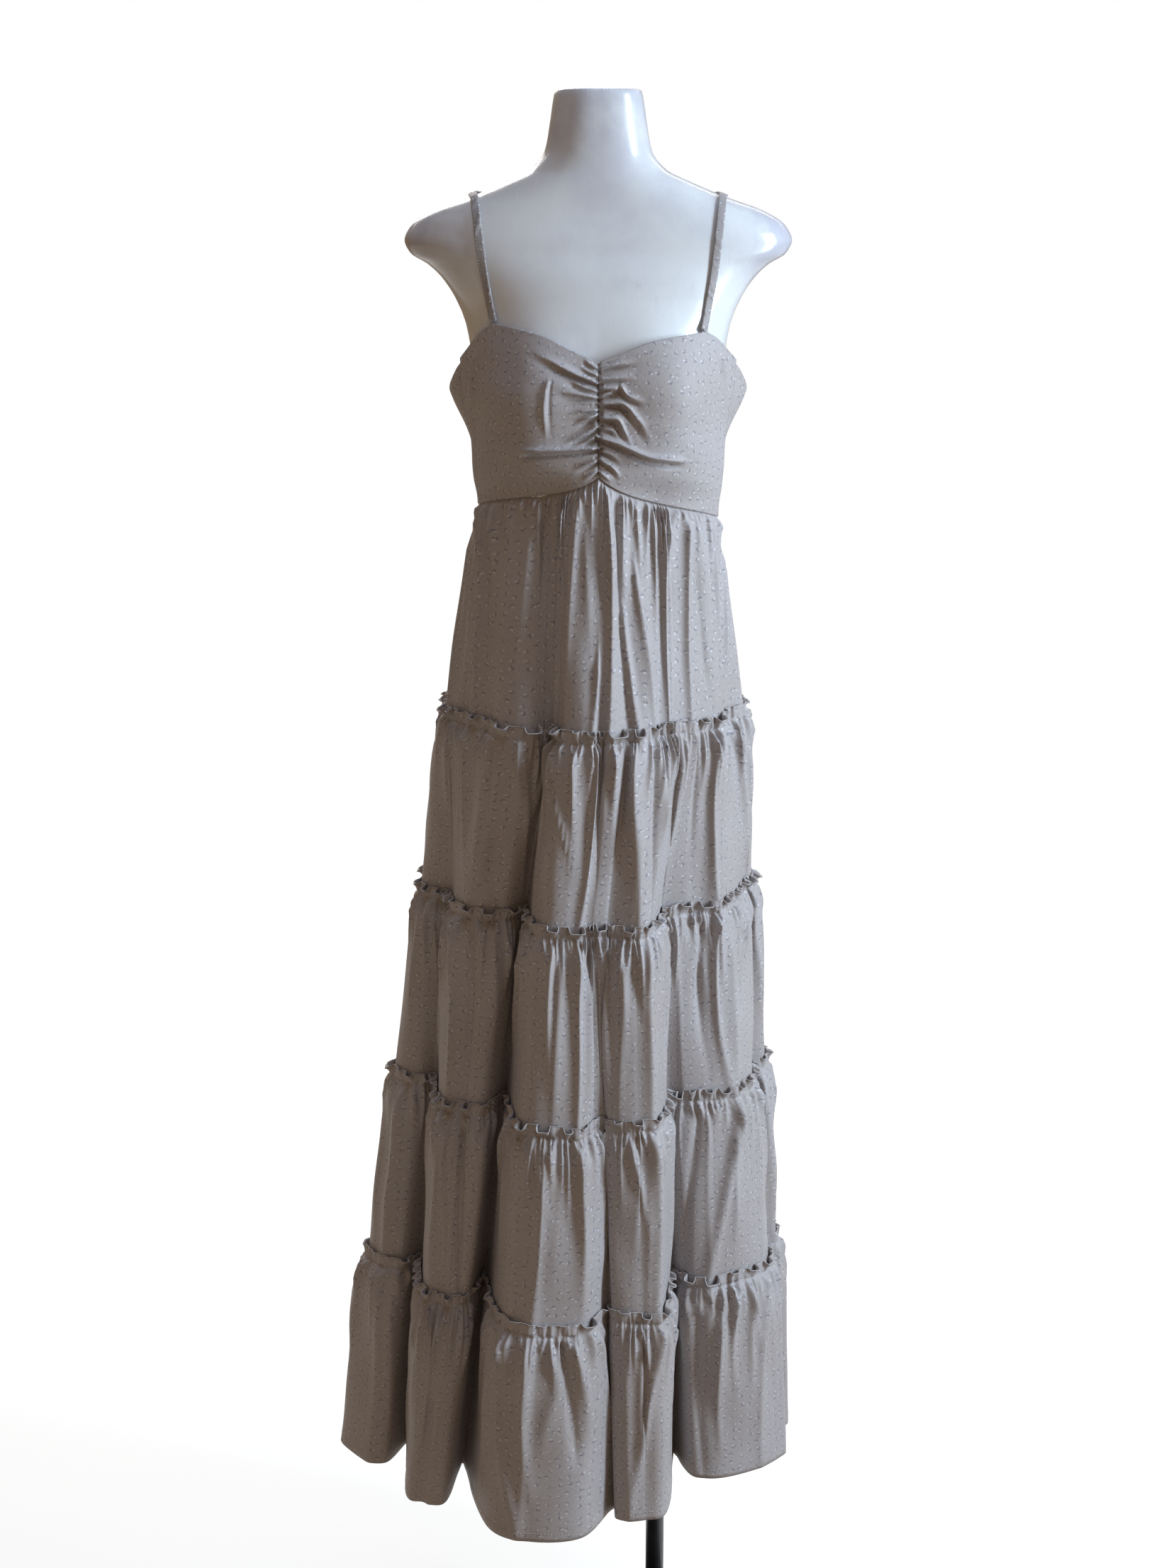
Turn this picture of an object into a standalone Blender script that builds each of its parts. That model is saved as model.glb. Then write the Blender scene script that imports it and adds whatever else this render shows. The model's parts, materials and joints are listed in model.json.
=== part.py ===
"""Tiered strap dress on a limbless dress form with its stand.

Metres, +Z up, front facing -Y. A bearing is counted in degrees from the front,
so 0 is the front, 90 is +X, 180 is the back and 270 is -X.
"""
import math
from collections import namedtuple

import bpy
import bmesh
import numpy as np

# Cloth
CLOTH = 0.0012
SEAM_GAP = 0.0003

# Heights of the seams that join the tiers, and of the hem
SEAM_1 = 1.168
SEAM_2 = 0.955
SEAM_3 = 0.735
SEAM_4 = 0.512
HEM = 0.272

# The waist seam rises to a point at the centre front
WAIST_SIDE = 1.395
WAIST_FRONT_RISE = 0.027
WAIST_PEAK = 0.022
WAIST_PEAK_SPREAD = 13.0
WAIST_SECTION_TOP = 1.40

# Ruffled headings: the lower tier's top edge, standing over its gathering line
HEADING_HEIGHT = 0.013
HEADING_LEAN = 0.0042
HEADING_WAVE = 0.0022
HEADING_LIFT = 0.0010
FINE_PER_COLUMN = 2
COLUMNS_PER_WAVE = 4
UPPER_TUCK = 0.004

# Each lower tier stands out just under its gathers, then falls straight
PUFF = 0.0055
PUFF_ROWS = ((0.14, 1.0), (0.52, 0.6))
FIRST_TIER_ROWS = (0.12, 0.50)

# A valley narrower than this keeps its ruffle and puff flat; they grow over the next distance
NARROW = 0.012
WIDE = 0.020

# Bodice
CENTRE_SEAM = 0.0
SIDE_SEAM = 80.0
STRAP_FRONT = 57.0
STRAP_BACK = 142.0
BODICE_EASE = 0.0052
UNDERARM_EASE = 0.0050
UNDERARM_START = 20.0
UNDERARM_SPREAD = 60.0
UNDERARM_TOP = 1.50
UNDERARM_DROP = 0.06
MIDRIFF_EASE = 0.0130
MIDRIFF_SPREAD = 40.0
MIDRIFF_TOP = 1.475
MIDRIFF_DROP = 0.05
WAIST_SETTLE = 0.18
WING_FLARE = 0.021
WING_BEARING = 97.0
WING_SPREAD = 15.0
WING_START = 1.455
WING_FULL = 1.525
FRONT_ROWS = 10
BACK_ROWS = 5
SEAM_REACH = 0.12

# Straps
STRAP_WIDTH = 0.0088
STRAP_THICK = 0.0020
STRAP_SECTION = ((-0.5, 0.0), (-0.36, 0.5), (0.36, 0.5), (0.5, 0.0), (0.36, -0.5), (-0.36, -0.5))
STRAP_CLEAR = 0.0008
STRAP_LIFT = 0.0005
STRAP_STATIONS = 26
STRAP_SAMPLES = 160
STRAP_BEND_WEIGHT = 0.09
STRAP_TOP_X = 0.1315
STRAP_PIVOT_Z = 1.62
NORMAL_STEP = 0.002
SEARCH_REACH = 0.30
SEARCH_STEPS = 40

# Dress form and stand
FORM_COLUMNS = 40
POLE_X = 0.071
POLE_Y = 0.048
POLE_RADIUS = 0.011
POLE_SIDES = 24
BASE_RADIUS = 0.160
BASE_THICK = 0.012
BASE_ROUND = 0.003
BASE_SIDES = 48

Fold = namedtuple("Fold", "name crest_x crest_y half facing valley_x valley_y")

# One row for each large fold, in the order of growing bearing: its crest, half its width, the way
# that it faces, and the valley that follows it
FOLDS_SEAM_1 = (
    Fold("centre_left", -0.018, -0.134, 0.020, 352, 0.016, -0.1295),
    Fold("centre_right", 0.050, -0.117, 0.018, 28, 0.083, -0.087),
    Fold("right", 0.130, -0.048, 0.030, 60, 0.160, 0.008),
    Fold("right_back", 0.162, 0.048, 0.018, 95, 0.153, 0.083),
    Fold("back_right", 0.113, 0.136, 0.028, 145, 0.060, 0.148),
    Fold("back_centre", 0.000, 0.165, 0.028, 180, -0.057, 0.148),
    Fold("back_left", -0.113, 0.138, 0.028, 215, -0.153, 0.100),
    Fold("left_back", -0.171, 0.074, 0.014, 262, -0.165, 0.044),
    Fold("far_left", -0.168, 0.010, 0.015, 277, -0.151, -0.022),
    Fold("left", -0.105, -0.094, 0.030, 316, -0.048, -0.102),
)
FOLDS_SEAM_2 = (
    Fold("centre_left", -0.040, -0.136, 0.026, 354, 0.001, -0.129),
    Fold("centre_right", 0.037, -0.131, 0.024, 10, 0.070, -0.060),
    Fold("right", 0.138, -0.024, 0.036, 45, 0.166, 0.052),
    Fold("right_back", 0.179, 0.088, 0.022, 100, 0.142, 0.114),
    Fold("back_right", 0.104, 0.166, 0.030, 150, 0.054, 0.128),
    Fold("back_centre", 0.000, 0.176, 0.030, 180, -0.052, 0.130),
    Fold("back_left", -0.104, 0.164, 0.030, 212, -0.146, 0.118),
    Fold("left_back", -0.198, 0.112, 0.020, 258, -0.180, 0.082),
    Fold("far_left", -0.201, 0.040, 0.020, 285, -0.166, 0.006),
    Fold("left", -0.138, -0.060, 0.032, 325, -0.080, -0.052),
)
FOLDS_HEM = (
    Fold("centre_left", -0.075, -0.196, 0.055, 348, 0.018, -0.128),
    Fold("centre_right", 0.053, -0.152, 0.030, 14, 0.092, -0.014),
    Fold("right", 0.180, -0.047, 0.062, 30, 0.202, 0.052),
    Fold("right_back", 0.232, 0.098, 0.030, 105, 0.165, 0.120),
    Fold("back_right", 0.132, 0.205, 0.042, 152, 0.072, 0.132),
    Fold("back_centre", 0.005, 0.222, 0.044, 181, -0.058, 0.138),
    Fold("back_left", -0.130, 0.212, 0.044, 208, -0.172, 0.124),
    Fold("left_back", -0.280, 0.120, 0.034, 250, -0.242, 0.078),
    Fold("far_left", -0.290, -0.004, 0.042, 312, -0.228, 0.014),
    Fold("left", -0.200, -0.114, 0.024, 340, -0.158, -0.040),
)
FLANK_DROP = 0.34
VALLEY_FLOOR = 0.009

# The most that a wall's gauge is stretched where the plan turns, and the tolerances of the search
# for free room outside it
TURN_LIMIT = 0.62
PARALLEL = 1e-9
OWN_SKIN = 1e-6
CORNER_SHARE = 0.02

# Places along a fold's spline where a column stands, in control steps from its valley
FOLD_STEPS = (0.0, 1.0, 1.5, 2.0, 2.65, 3.35, 4.0, 4.5)
CONTROLS_PER_FOLD = 5

Level = namedtuple("Level", "z half_width front back bust")

# The dress form's sections, from its flat underside to the top of its neck
FORM_LEVELS = (
    Level(1.060, 0.119, 0.064, 0.084, 0.000),
    Level(1.066, 0.124, 0.069, 0.090, 0.000),
    Level(1.085, 0.130, 0.074, 0.097, 0.000),
    Level(1.125, 0.133, 0.080, 0.107, 0.000),
    Level(1.175, 0.133, 0.085, 0.110, 0.000),
    Level(1.245, 0.125, 0.084, 0.099, 0.000),
    Level(1.320, 0.110, 0.079, 0.083, 0.000),
    Level(1.390, 0.117, 0.086, 0.087, 0.000),
    Level(1.440, 0.122, 0.093, 0.092, 0.004),
    Level(1.480, 0.126, 0.098, 0.095, 0.011),
    Level(1.520, 0.130, 0.099, 0.097, 0.015),
    Level(1.560, 0.134, 0.095, 0.098, 0.009),
    Level(1.595, 0.140, 0.088, 0.097, 0.003),
    Level(1.620, 0.150, 0.082, 0.094, 0.000),
    Level(1.643, 0.165, 0.076, 0.090, 0.000),
    Level(1.657, 0.180, 0.071, 0.086, 0.000),
    Level(1.668, 0.198, 0.067, 0.083, 0.000),
    Level(1.681, 0.204, 0.064, 0.080, 0.000),
    Level(1.697, 0.196, 0.060, 0.076, 0.000),
    Level(1.711, 0.174, 0.057, 0.073, 0.000),
    Level(1.725, 0.135, 0.055, 0.070, 0.000),
    Level(1.740, 0.098, 0.053, 0.065, 0.000),
    Level(1.753, 0.071, 0.051, 0.060, 0.000),
    Level(1.772, 0.056, 0.049, 0.055, 0.000),
    Level(1.800, 0.0505, 0.047, 0.051, 0.000),
    Level(1.826, 0.0465, 0.044, 0.047, 0.000),
    Level(1.8315, 0.0450, 0.0425, 0.0455, 0.000),
)
FORM_TOP = 1.8330
FORM_TOP_SHARE = 0.93
FORM_SQUARE = 2.35
SHOULDER_LOW = 1.68
SHOULDER_HIGH = 1.775
BUST_BEARING = 38.0
BUST_SPREAD = 21.0

Edge = namedtuple("Edge", "bearing z")

# The bodice's top edge, from the centre front to the centre back
TOP_EDGE = (
    Edge(0.0, 1.5605),
    Edge(14.0, 1.5700),
    Edge(34.0, 1.5860),
    Edge(52.0, 1.5962),
    Edge(57.0, 1.5975),
    Edge(62.0, 1.5925),
    Edge(70.0, 1.5785),
    Edge(80.0, 1.5600),
    Edge(97.0, 1.5290),
    Edge(125.0, 1.5150),
    Edge(142.0, 1.5110),
    Edge(180.0, 1.5080),
)

Ruche = namedtuple("Ruche", "side start_z bend reach width height")

# The largest folds that run out of the centre seam, as soft ridges: side, height at the seam, how
# far each rises over its reach in degrees, its half width and how far it stands out
RUCHES = (
    Ruche(-1, 1.524, 0.036, 44.0, 0.0075, 0.0026),
    Ruche(-1, 1.504, 0.010, 26.0, 0.0060, 0.0022),
    Ruche(-1, 1.472, -0.002, 40.0, 0.0070, 0.0030),
    Ruche(1, 1.536, 0.012, 32.0, 0.0065, 0.0024),
    Ruche(1, 1.508, -0.020, 42.0, 0.0070, 0.0028),
    Ruche(1, 1.478, -0.018, 50.0, 0.0075, 0.0030),
)
RUCHE_CURVE = 1.3
RUCHE_ONSET = 0.08
RUCHE_MARGIN = 0.1

# Colour, roughness and metallic value of each material
Finish = namedtuple("Finish", "red green blue roughness metallic")

CLOTH_FINISH = Finish(0.37, 0.33, 0.305, 0.72, 0.0)
FORM_FINISH = Finish(0.80, 0.80, 0.79, 0.28, 0.0)
STEEL_FINISH = Finish(0.012, 0.012, 0.013, 0.35, 0.0)


def clear_scene():
    """Remove whatever the file holds."""
    for item in list(bpy.data.objects):
        bpy.data.objects.remove(item, do_unlink=True)


def through(xs, ys, x):
    """A smooth curve through the rows of a table that never overshoots them."""
    xs = np.asarray(xs, float)
    ys = np.asarray(ys, float)
    x = np.clip(np.asarray(x, float), xs[0], xs[-1])
    step = np.diff(xs)
    slope = np.diff(ys) / step
    tangent = np.zeros_like(ys)
    same_way = slope[:-1] * slope[1:] > 0.0
    mean = np.where(same_way, 2.0 * slope[:-1] * slope[1:] / (slope[:-1] + slope[1:] + 1e-12), 0.0)
    tangent[1:-1] = mean
    tangent[0] = slope[0]
    tangent[-1] = slope[-1]
    row = np.clip(np.searchsorted(xs, x, side="right") - 1, 0, len(xs) - 2)
    t = (x - xs[row]) / step[row]
    start = ys[row] * (1.0 + 2.0 * t) * (1.0 - t) ** 2
    end = ys[row + 1] * t * t * (3.0 - 2.0 * t)
    lean = tangent[row] * t * (1.0 - t) ** 2 + tangent[row + 1] * t * t * (t - 1.0)
    return start + end + step[row] * lean


def ease(t):
    """0 to 1 with soft ends."""
    t = np.clip(t, 0.0, 1.0)
    return t * t * (3.0 - 2.0 * t)


def from_front(bearing):
    """Degrees from the front on either side, 0 to 180."""
    turned = np.mod(np.asarray(bearing, float) + 180.0, 360.0) - 180.0
    return np.abs(turned)


def oval(bearing, half_width, front, back):
    """Distance from the axis to a slightly squared oval, in the direction of a bearing."""
    angle = np.radians(bearing)
    depth = np.where(np.cos(angle) > 0.0, front, back)
    across = np.abs(np.sin(angle)) / half_width
    along = np.abs(np.cos(angle)) / depth
    return (across ** FORM_SQUARE + along ** FORM_SQUARE) ** (-1.0 / FORM_SQUARE)


def form_reach(bearing, z):
    """Distance from the axis to the dress form's surface."""
    heights = [row.z for row in FORM_LEVELS]
    half_width = through(heights, [row.half_width for row in FORM_LEVELS], z)
    front = through(heights, [row.front for row in FORM_LEVELS], z)
    back = through(heights, [row.back for row in FORM_LEVELS], z)
    bust = through(heights, [row.bust for row in FORM_LEVELS], z)
    swell = np.exp(-(((from_front(bearing) - BUST_BEARING) / BUST_SPREAD) ** 2))
    return oval(bearing, half_width, front, back) + bust * swell


def waist_height(bearing):
    """Height of the waist seam."""
    angle = np.radians(bearing)
    rise = WAIST_FRONT_RISE * np.maximum(np.cos(angle), 0.0)
    peak = WAIST_PEAK * np.exp(-from_front(bearing) / WAIST_PEAK_SPREAD)
    return WAIST_SIDE + rise + peak


def top_height(bearing):
    """Height of the bodice's top edge."""
    return through([row.bearing for row in TOP_EDGE], [row.z for row in TOP_EDGE], from_front(bearing))


def bodice_reach(bearing, z):
    """Distance from the axis to the bodice's outer face, without the ruching."""
    away = from_front(bearing)
    flare = np.exp(-(((away - WING_BEARING) / WING_SPREAD) ** 2))
    flare = flare * ease((z - WING_START) / (WING_FULL - WING_START))
    underarm = ease((away - UNDERARM_START) / UNDERARM_SPREAD) * ease((UNDERARM_TOP - z) / UNDERARM_DROP)
    midriff = ease((MIDRIFF_SPREAD - away) / MIDRIFF_SPREAD) * ease((MIDRIFF_TOP - z) / MIDRIFF_DROP)
    loose = UNDERARM_EASE * underarm + MIDRIFF_EASE * midriff
    return form_reach(bearing, z) + BODICE_EASE + CLOTH + loose + WING_FLARE * flare


def ruching(bearing, z):
    """Height of the folds that run out of the centre front seam."""
    signed = np.mod(np.asarray(bearing, float) + 180.0, 360.0) - 180.0
    total = np.zeros_like(signed + z)
    for fold in RUCHES:
        along = signed * fold.side / fold.reach
        inside = (along >= 0.0) & (along <= 1.0)
        line = fold.start_z + fold.bend * np.maximum(along, 0.0) ** RUCHE_CURVE
        across = (z - line) / fold.width
        fade = ease(along / RUCHE_ONSET) * (1.0 - ease(along))
        total = total + np.where(inside, fold.height * fade * np.exp(-across * across), 0.0)
    return total


def fold_controls(folds):
    """Control points of one section: two on each valley floor, then flank, crest and flank."""
    crests = np.array([(row.crest_x, row.crest_y) for row in folds])
    halves = np.array([row.half for row in folds])[:, None]
    facing = np.radians([row.facing for row in folds])
    outward = np.stack([np.sin(facing), -np.cos(facing)], axis=1)
    sideways = np.stack([np.cos(facing), np.sin(facing)], axis=1)
    first_flank = crests - halves * sideways - FLANK_DROP * halves * outward
    last_flank = crests + halves * sideways - FLANK_DROP * halves * outward
    valleys = np.roll(np.array([(row.valley_x, row.valley_y) for row in folds]), 1, axis=0)
    floor = first_flank - np.roll(last_flank, 1, axis=0)
    floor = floor / np.linalg.norm(floor, axis=1, keepdims=True) * VALLEY_FLOOR / 2.0
    rows = np.stack([valleys - floor, valleys + floor, first_flank, crests, last_flank], axis=1)
    return rows.reshape(-1, 2)


def waist_controls():
    """The first section's controls, drawn in to the smooth waist."""
    flat = fold_controls(FOLDS_SEAM_1)
    bearing = np.degrees(np.arctan2(flat[:, 0], -flat[:, 1]))
    reach = bodice_reach(bearing, WAIST_SIDE)
    angle = np.radians(bearing)
    return np.stack([reach * np.sin(angle), -reach * np.cos(angle)], axis=1)


def closed_curve(controls, steps):
    """Points of a closed smooth curve through the controls, at places counted in controls."""
    count = len(controls)
    steps = np.asarray(steps, float)
    first = np.floor(steps).astype(int)
    t = (steps - first)[:, None]
    before = controls[(first - 1) % count]
    start = controls[first % count]
    end = controls[(first + 1) % count]
    after = controls[(first + 2) % count]
    tangent = 0.5 * (end - before)
    next_tangent = 0.5 * (after - start)
    a = start * (1.0 + 2.0 * t) * (1.0 - t) ** 2
    b = end * t * t * (3.0 - 2.0 * t)
    return a + b + tangent * t * (1.0 - t) ** 2 + next_tangent * t * t * (t - 1.0)


def column_steps():
    """Where the skirt's columns stand along the closed curve."""
    steps = []
    for fold in range(len(FOLDS_HEM)):
        for step in FOLD_STEPS:
            steps.append(fold * CONTROLS_PER_FOLD + step)
    return np.array(steps)


def skirt_section(z):
    """Plan of the skirt at a height, one point a column."""
    levels = (
        (HEM, fold_controls(FOLDS_HEM)),
        (SEAM_2, fold_controls(FOLDS_SEAM_2)),
        (SEAM_1, fold_controls(FOLDS_SEAM_1)),
        (WAIST_SECTION_TOP, waist_controls()),
    )
    for (low, low_points), (high, high_points) in zip(levels, levels[1:]):
        if z <= high or high == WAIST_SECTION_TOP:
            share = min(max((z - low) / (high - low), 0.0), 1.0)
            controls = low_points * (1.0 - share) + high_points * share
            return closed_curve(controls, column_steps())
    raise ValueError("height above the waist")


def outward_normals(ring):
    """Sideways directions out of a closed plan, longer where it turns, so that walls keep their gauge."""
    ahead = np.roll(ring, -1, axis=0) - ring
    ahead = ahead / np.linalg.norm(ahead, axis=1, keepdims=True)
    behind = np.roll(ahead, 1, axis=0)
    left = np.stack([ahead[:, 1], -ahead[:, 0]], axis=1)
    right = np.stack([behind[:, 1], -behind[:, 0]], axis=1)
    both = left + right
    both = both / np.linalg.norm(both, axis=1, keepdims=True)
    turn = np.sum(both * left, axis=1)
    return both / np.maximum(turn, TURN_LIMIT)[:, None]


def room_outside(ring, normals):
    """Free distance from each point of a closed plan to the plan itself, going outward."""
    starts = ring
    ends = np.roll(ring, -1, axis=0)
    count = len(ring)
    free = np.full(count, 1.0)
    for i in range(count):
        way = normals[i] / np.linalg.norm(normals[i])
        for j in range(count):
            if (j - i) % count in (0, count - 1):
                continue
            edge = ends[j] - starts[j]
            cross = way[0] * edge[1] - way[1] * edge[0]
            if abs(cross) < PARALLEL:
                continue
            gap = starts[j] - ring[i]
            along = (gap[0] * edge[1] - gap[1] * edge[0]) / cross
            share = (gap[0] * way[1] - gap[1] * way[0]) / cross
            if along > OWN_SKIN and -CORNER_SHARE <= share <= 1.0 + CORNER_SHARE:
                free[i] = min(free[i], along)
    return free


def ring_pair(plan, offset, z):
    """Outer and inner points of a wall's section."""
    normals = outward_normals(plan)
    offset = np.asarray(offset, float) * np.ones(len(plan))
    outer = plan + normals * offset[:, None]
    inner = plan + normals * (offset - CLOTH)[:, None]
    z = np.asarray(z, float) * np.ones(len(plan))
    return np.column_stack([outer, z]), np.column_stack([inner, z])


def new_object(name, vertices, faces, material, smooth):
    """A closed mesh from points and faces, facing out."""
    mesh = bpy.data.meshes.new(name)
    mesh.from_pydata([tuple(map(float, point)) for point in vertices], [], faces)
    work = bmesh.new()
    work.from_mesh(mesh)
    bmesh.ops.recalc_face_normals(work, faces=work.faces)
    bmesh.ops.triangulate(work, faces=work.faces)
    if work.calc_volume(signed=True) < 0.0:
        bmesh.ops.reverse_faces(work, faces=work.faces)
    work.to_mesh(mesh)
    work.free()
    mesh.polygons.foreach_set("use_smooth", [smooth] * len(mesh.polygons))
    mesh.materials.append(material)
    item = bpy.data.objects.new(name, mesh)
    bpy.context.scene.collection.objects.link(item)
    return item


def finish_material(name, finish):
    """A plain principled material."""
    material = bpy.data.materials.new(name)
    material.use_nodes = True
    shader = material.node_tree.nodes["Principled BSDF"]
    colour = (finish.red, finish.green, finish.blue, 1.0)
    shader.inputs["Base Color"].default_value = colour
    shader.inputs["Roughness"].default_value = finish.roughness
    shader.inputs["Metallic"].default_value = finish.metallic
    material.diffuse_color = colour
    return material


def stitch_rings(faces, lower, upper):
    """Faces between two closed rings; the longer one may have a whole number of times the points."""
    few, many = (lower, upper) if len(lower) <= len(upper) else (upper, lower)
    times = len(many) // len(few)
    for i in range(len(few)):
        j = (i + 1) % len(few)
        fan = [many[(i * times + k) % len(many)] for k in range(times + 1)]
        if times == 1:
            faces.append((few[i], few[j], fan[1], fan[0]))
            continue
        half = times // 2
        for k in range(times):
            corner = few[i] if k < half else few[j]
            faces.append((corner, fan[k], fan[k + 1]))
        faces.append((few[i], few[j], fan[half]))


def tube_wall(name, pairs, material):
    """A closed cloth tube from pairs of outer and inner rings, in order up or down."""
    vertices = []
    outer_rows = []
    inner_rows = []
    for outer, inner in pairs:
        outer_rows.append(list(range(len(vertices), len(vertices) + len(outer))))
        vertices.extend(outer)
        inner_rows.append(list(range(len(vertices), len(vertices) + len(inner))))
        vertices.extend(inner)
    faces = []
    for lower, upper in zip(outer_rows, outer_rows[1:]):
        stitch_rings(faces, lower, upper)
    for lower, upper in zip(inner_rows, inner_rows[1:]):
        stitch_rings(faces, lower, upper)
    stitch_rings(faces, outer_rows[0], inner_rows[0])
    stitch_rings(faces, outer_rows[-1], inner_rows[-1])
    return new_object(name, vertices, faces, material, True)


def heading_rings(plan, base_offset, seam_z, room):
    """The heading's top edge, waved between the columns of the gathering line."""
    normals = outward_normals(plan)
    points = []
    ways = []
    free = []
    for i in range(len(plan)):
        j = (i + 1) % len(plan)
        for k in range(FINE_PER_COLUMN):
            share = k / FINE_PER_COLUMN
            points.append(plan[i] * (1.0 - share) + plan[j] * share)
            ways.append(normals[i] * (1.0 - share) + normals[j] * share)
            free.append(room[i] * (1.0 - share) + room[j] * share)
    points = np.array(points)
    ways = np.array(ways)
    free = np.array(free)
    turn = 2.0 * math.pi * np.arange(len(points)) / COLUMNS_PER_WAVE
    calm = np.clip((free - NARROW) / WIDE, 0.0, 1.0)
    offset = base_offset + (HEADING_LEAN - base_offset) * calm + HEADING_WAVE * calm * np.sin(turn)
    height = seam_z + HEADING_HEIGHT + HEADING_LIFT * np.cos(turn)
    outer = np.column_stack([points + ways * offset[:, None], height])
    inner = np.column_stack([points + ways * (offset - CLOTH)[:, None], height])
    return outer, inner


def lapped_edge(seam):
    """Rings of a tier where the next one's heading lies over it."""
    pairs = []
    for z in (seam + HEADING_HEIGHT, seam - UPPER_TUCK):
        pairs.append(ring_pair(skirt_section(z), 0.0, z))
    return pairs


def first_tier(material):
    """The top tier hangs from the waist seam."""
    bearing = waist_bearings()
    top_z = waist_height(bearing) - SEAM_GAP
    pairs = [ring_pair(waist_plan(bearing), 0.0, top_z)]
    bottom_z = SEAM_1 + HEADING_HEIGHT
    for share in FIRST_TIER_ROWS:
        level = WAIST_SECTION_TOP + (bottom_z - WAIST_SECTION_TOP) * share
        plan = skirt_section(level)
        pairs.append(ring_pair(plan, 0.0, top_z * (1.0 - share) + bottom_z * share))
    return tube_wall("skirt_tier_1", pairs + lapped_edge(SEAM_1), material)


def lower_tier(name, seam, next_seam, material):
    """A tier with its heading over the tier above; the last one ends in the hem."""
    lap = CLOTH + SEAM_GAP
    above = skirt_section(seam + HEADING_HEIGHT)
    below = skirt_section(seam - UPPER_TUCK)
    part_up = UPPER_TUCK / (HEADING_HEIGHT + UPPER_TUCK)
    plan = above * part_up + below * (1.0 - part_up)
    room = room_outside(above, outward_normals(above))
    pairs = [heading_rings(above, lap, seam, room), ring_pair(plan, lap, seam)]
    bottom_z = HEM if next_seam is None else next_seam
    for share, puff in PUFF_ROWS:
        level = seam + (bottom_z - seam) * share
        plan = skirt_section(level)
        room = room_outside(plan, outward_normals(plan))
        calm = np.clip((room - NARROW) / WIDE, 0.0, 1.0)
        pairs.append(ring_pair(plan, PUFF * puff * calm + lap * (1.0 - share), level))
    if next_seam is None:
        pairs.append(ring_pair(skirt_section(HEM), 0.0, HEM))
    else:
        pairs.extend(lapped_edge(next_seam))
    return tube_wall(name, pairs, material)


def waist_bearings():
    """Bearings of the skirt's columns at the waist, with columns exactly on the bodice's seams."""
    ring = closed_curve(waist_controls(), column_steps())
    bearing = np.degrees(np.unwrap(np.arctan2(ring[:, 0], -ring[:, 1])))
    targets = np.array([CENTRE_SEAM, SIDE_SEAM, STRAP_FRONT, STRAP_BACK,
                        360.0 - STRAP_BACK, 360.0 - STRAP_FRONT, 360.0 - SIDE_SEAM])
    wrapped = np.mod(bearing, 360.0)
    order = np.argsort(wrapped)
    placed = wrapped[order]
    knots = []
    for target in np.sort(targets):
        distance = np.abs(np.mod(placed - target + 180.0, 360.0) - 180.0)
        knots.append((placed[int(np.argmin(distance))], target))
    start, first_target = knots[0]
    if start > 180.0:
        start = start - 360.0
    sources = [start] + [pair[0] for pair in knots[1:]] + [start + 360.0]
    goals = [first_target] + [pair[1] for pair in knots[1:]] + [first_target + 360.0]
    shifted = np.where(placed < start, placed + 360.0, placed)
    shifted = np.where(shifted > start + 360.0 - 1e-9, shifted - 360.0, shifted)
    moved = np.interp(shifted, sources, goals)
    result = np.empty_like(moved)
    result[order] = moved
    return result


def waist_plan(bearing):
    """Plan of the waist seam."""
    angle = np.radians(bearing)
    reach = bodice_reach(bearing, WAIST_SIDE)
    return np.stack([reach * np.sin(angle), -reach * np.cos(angle)], axis=1)


def bodice_point(bearing, share, inset, ruched):
    """A point of a bodice panel: share 0 at the waist seam and 1 at the top edge."""
    low = waist_height(bearing)
    high = top_height(bearing)
    z = low + (high - low) * share
    settle = ease(share / WAIST_SETTLE)
    reach = bodice_reach(bearing, WAIST_SIDE) * (1.0 - settle) + bodice_reach(bearing, z) * settle
    reach = reach - inset
    if ruched:
        margin = ease(share / RUCHE_MARGIN) * ease((1.0 - share) / RUCHE_MARGIN)
        reach = reach + ruching(bearing, z) * margin
    angle = math.radians(bearing)
    return np.array([reach * math.sin(angle), -reach * math.cos(angle), z])


def panel(name, bearings, rows, material, ruched):
    """A cloth panel of the bodice, between two seams."""
    half_gap = math.degrees(SEAM_GAP / 2.0 / SEAM_REACH)
    bearings = list(bearings)
    bearings[0] = bearings[0] + half_gap
    bearings[-1] = bearings[-1] - half_gap
    vertices = []
    index = {}
    for side, inset in (("outer", 0.0), ("inner", CLOTH)):
        for i, bearing in enumerate(bearings):
            for j in range(rows + 1):
                index[side, i, j] = len(vertices)
                vertices.append(bodice_point(bearing, j / rows, inset, ruched))
    last = len(bearings) - 1
    faces = []
    for side in ("outer", "inner"):
        for i in range(last):
            for j in range(rows):
                faces.append((index[side, i, j], index[side, i + 1, j],
                              index[side, i + 1, j + 1], index[side, i, j + 1]))
    for i in range(last):
        for j in (0, rows):
            faces.append((index["outer", i, j], index["outer", i + 1, j],
                          index["inner", i + 1, j], index["inner", i, j]))
    for j in range(rows):
        for i in (0, last):
            faces.append((index["outer", i, j], index["outer", i, j + 1],
                          index["inner", i, j + 1], index["inner", i, j]))
    return new_object(name, vertices, faces, material, True)


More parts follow.
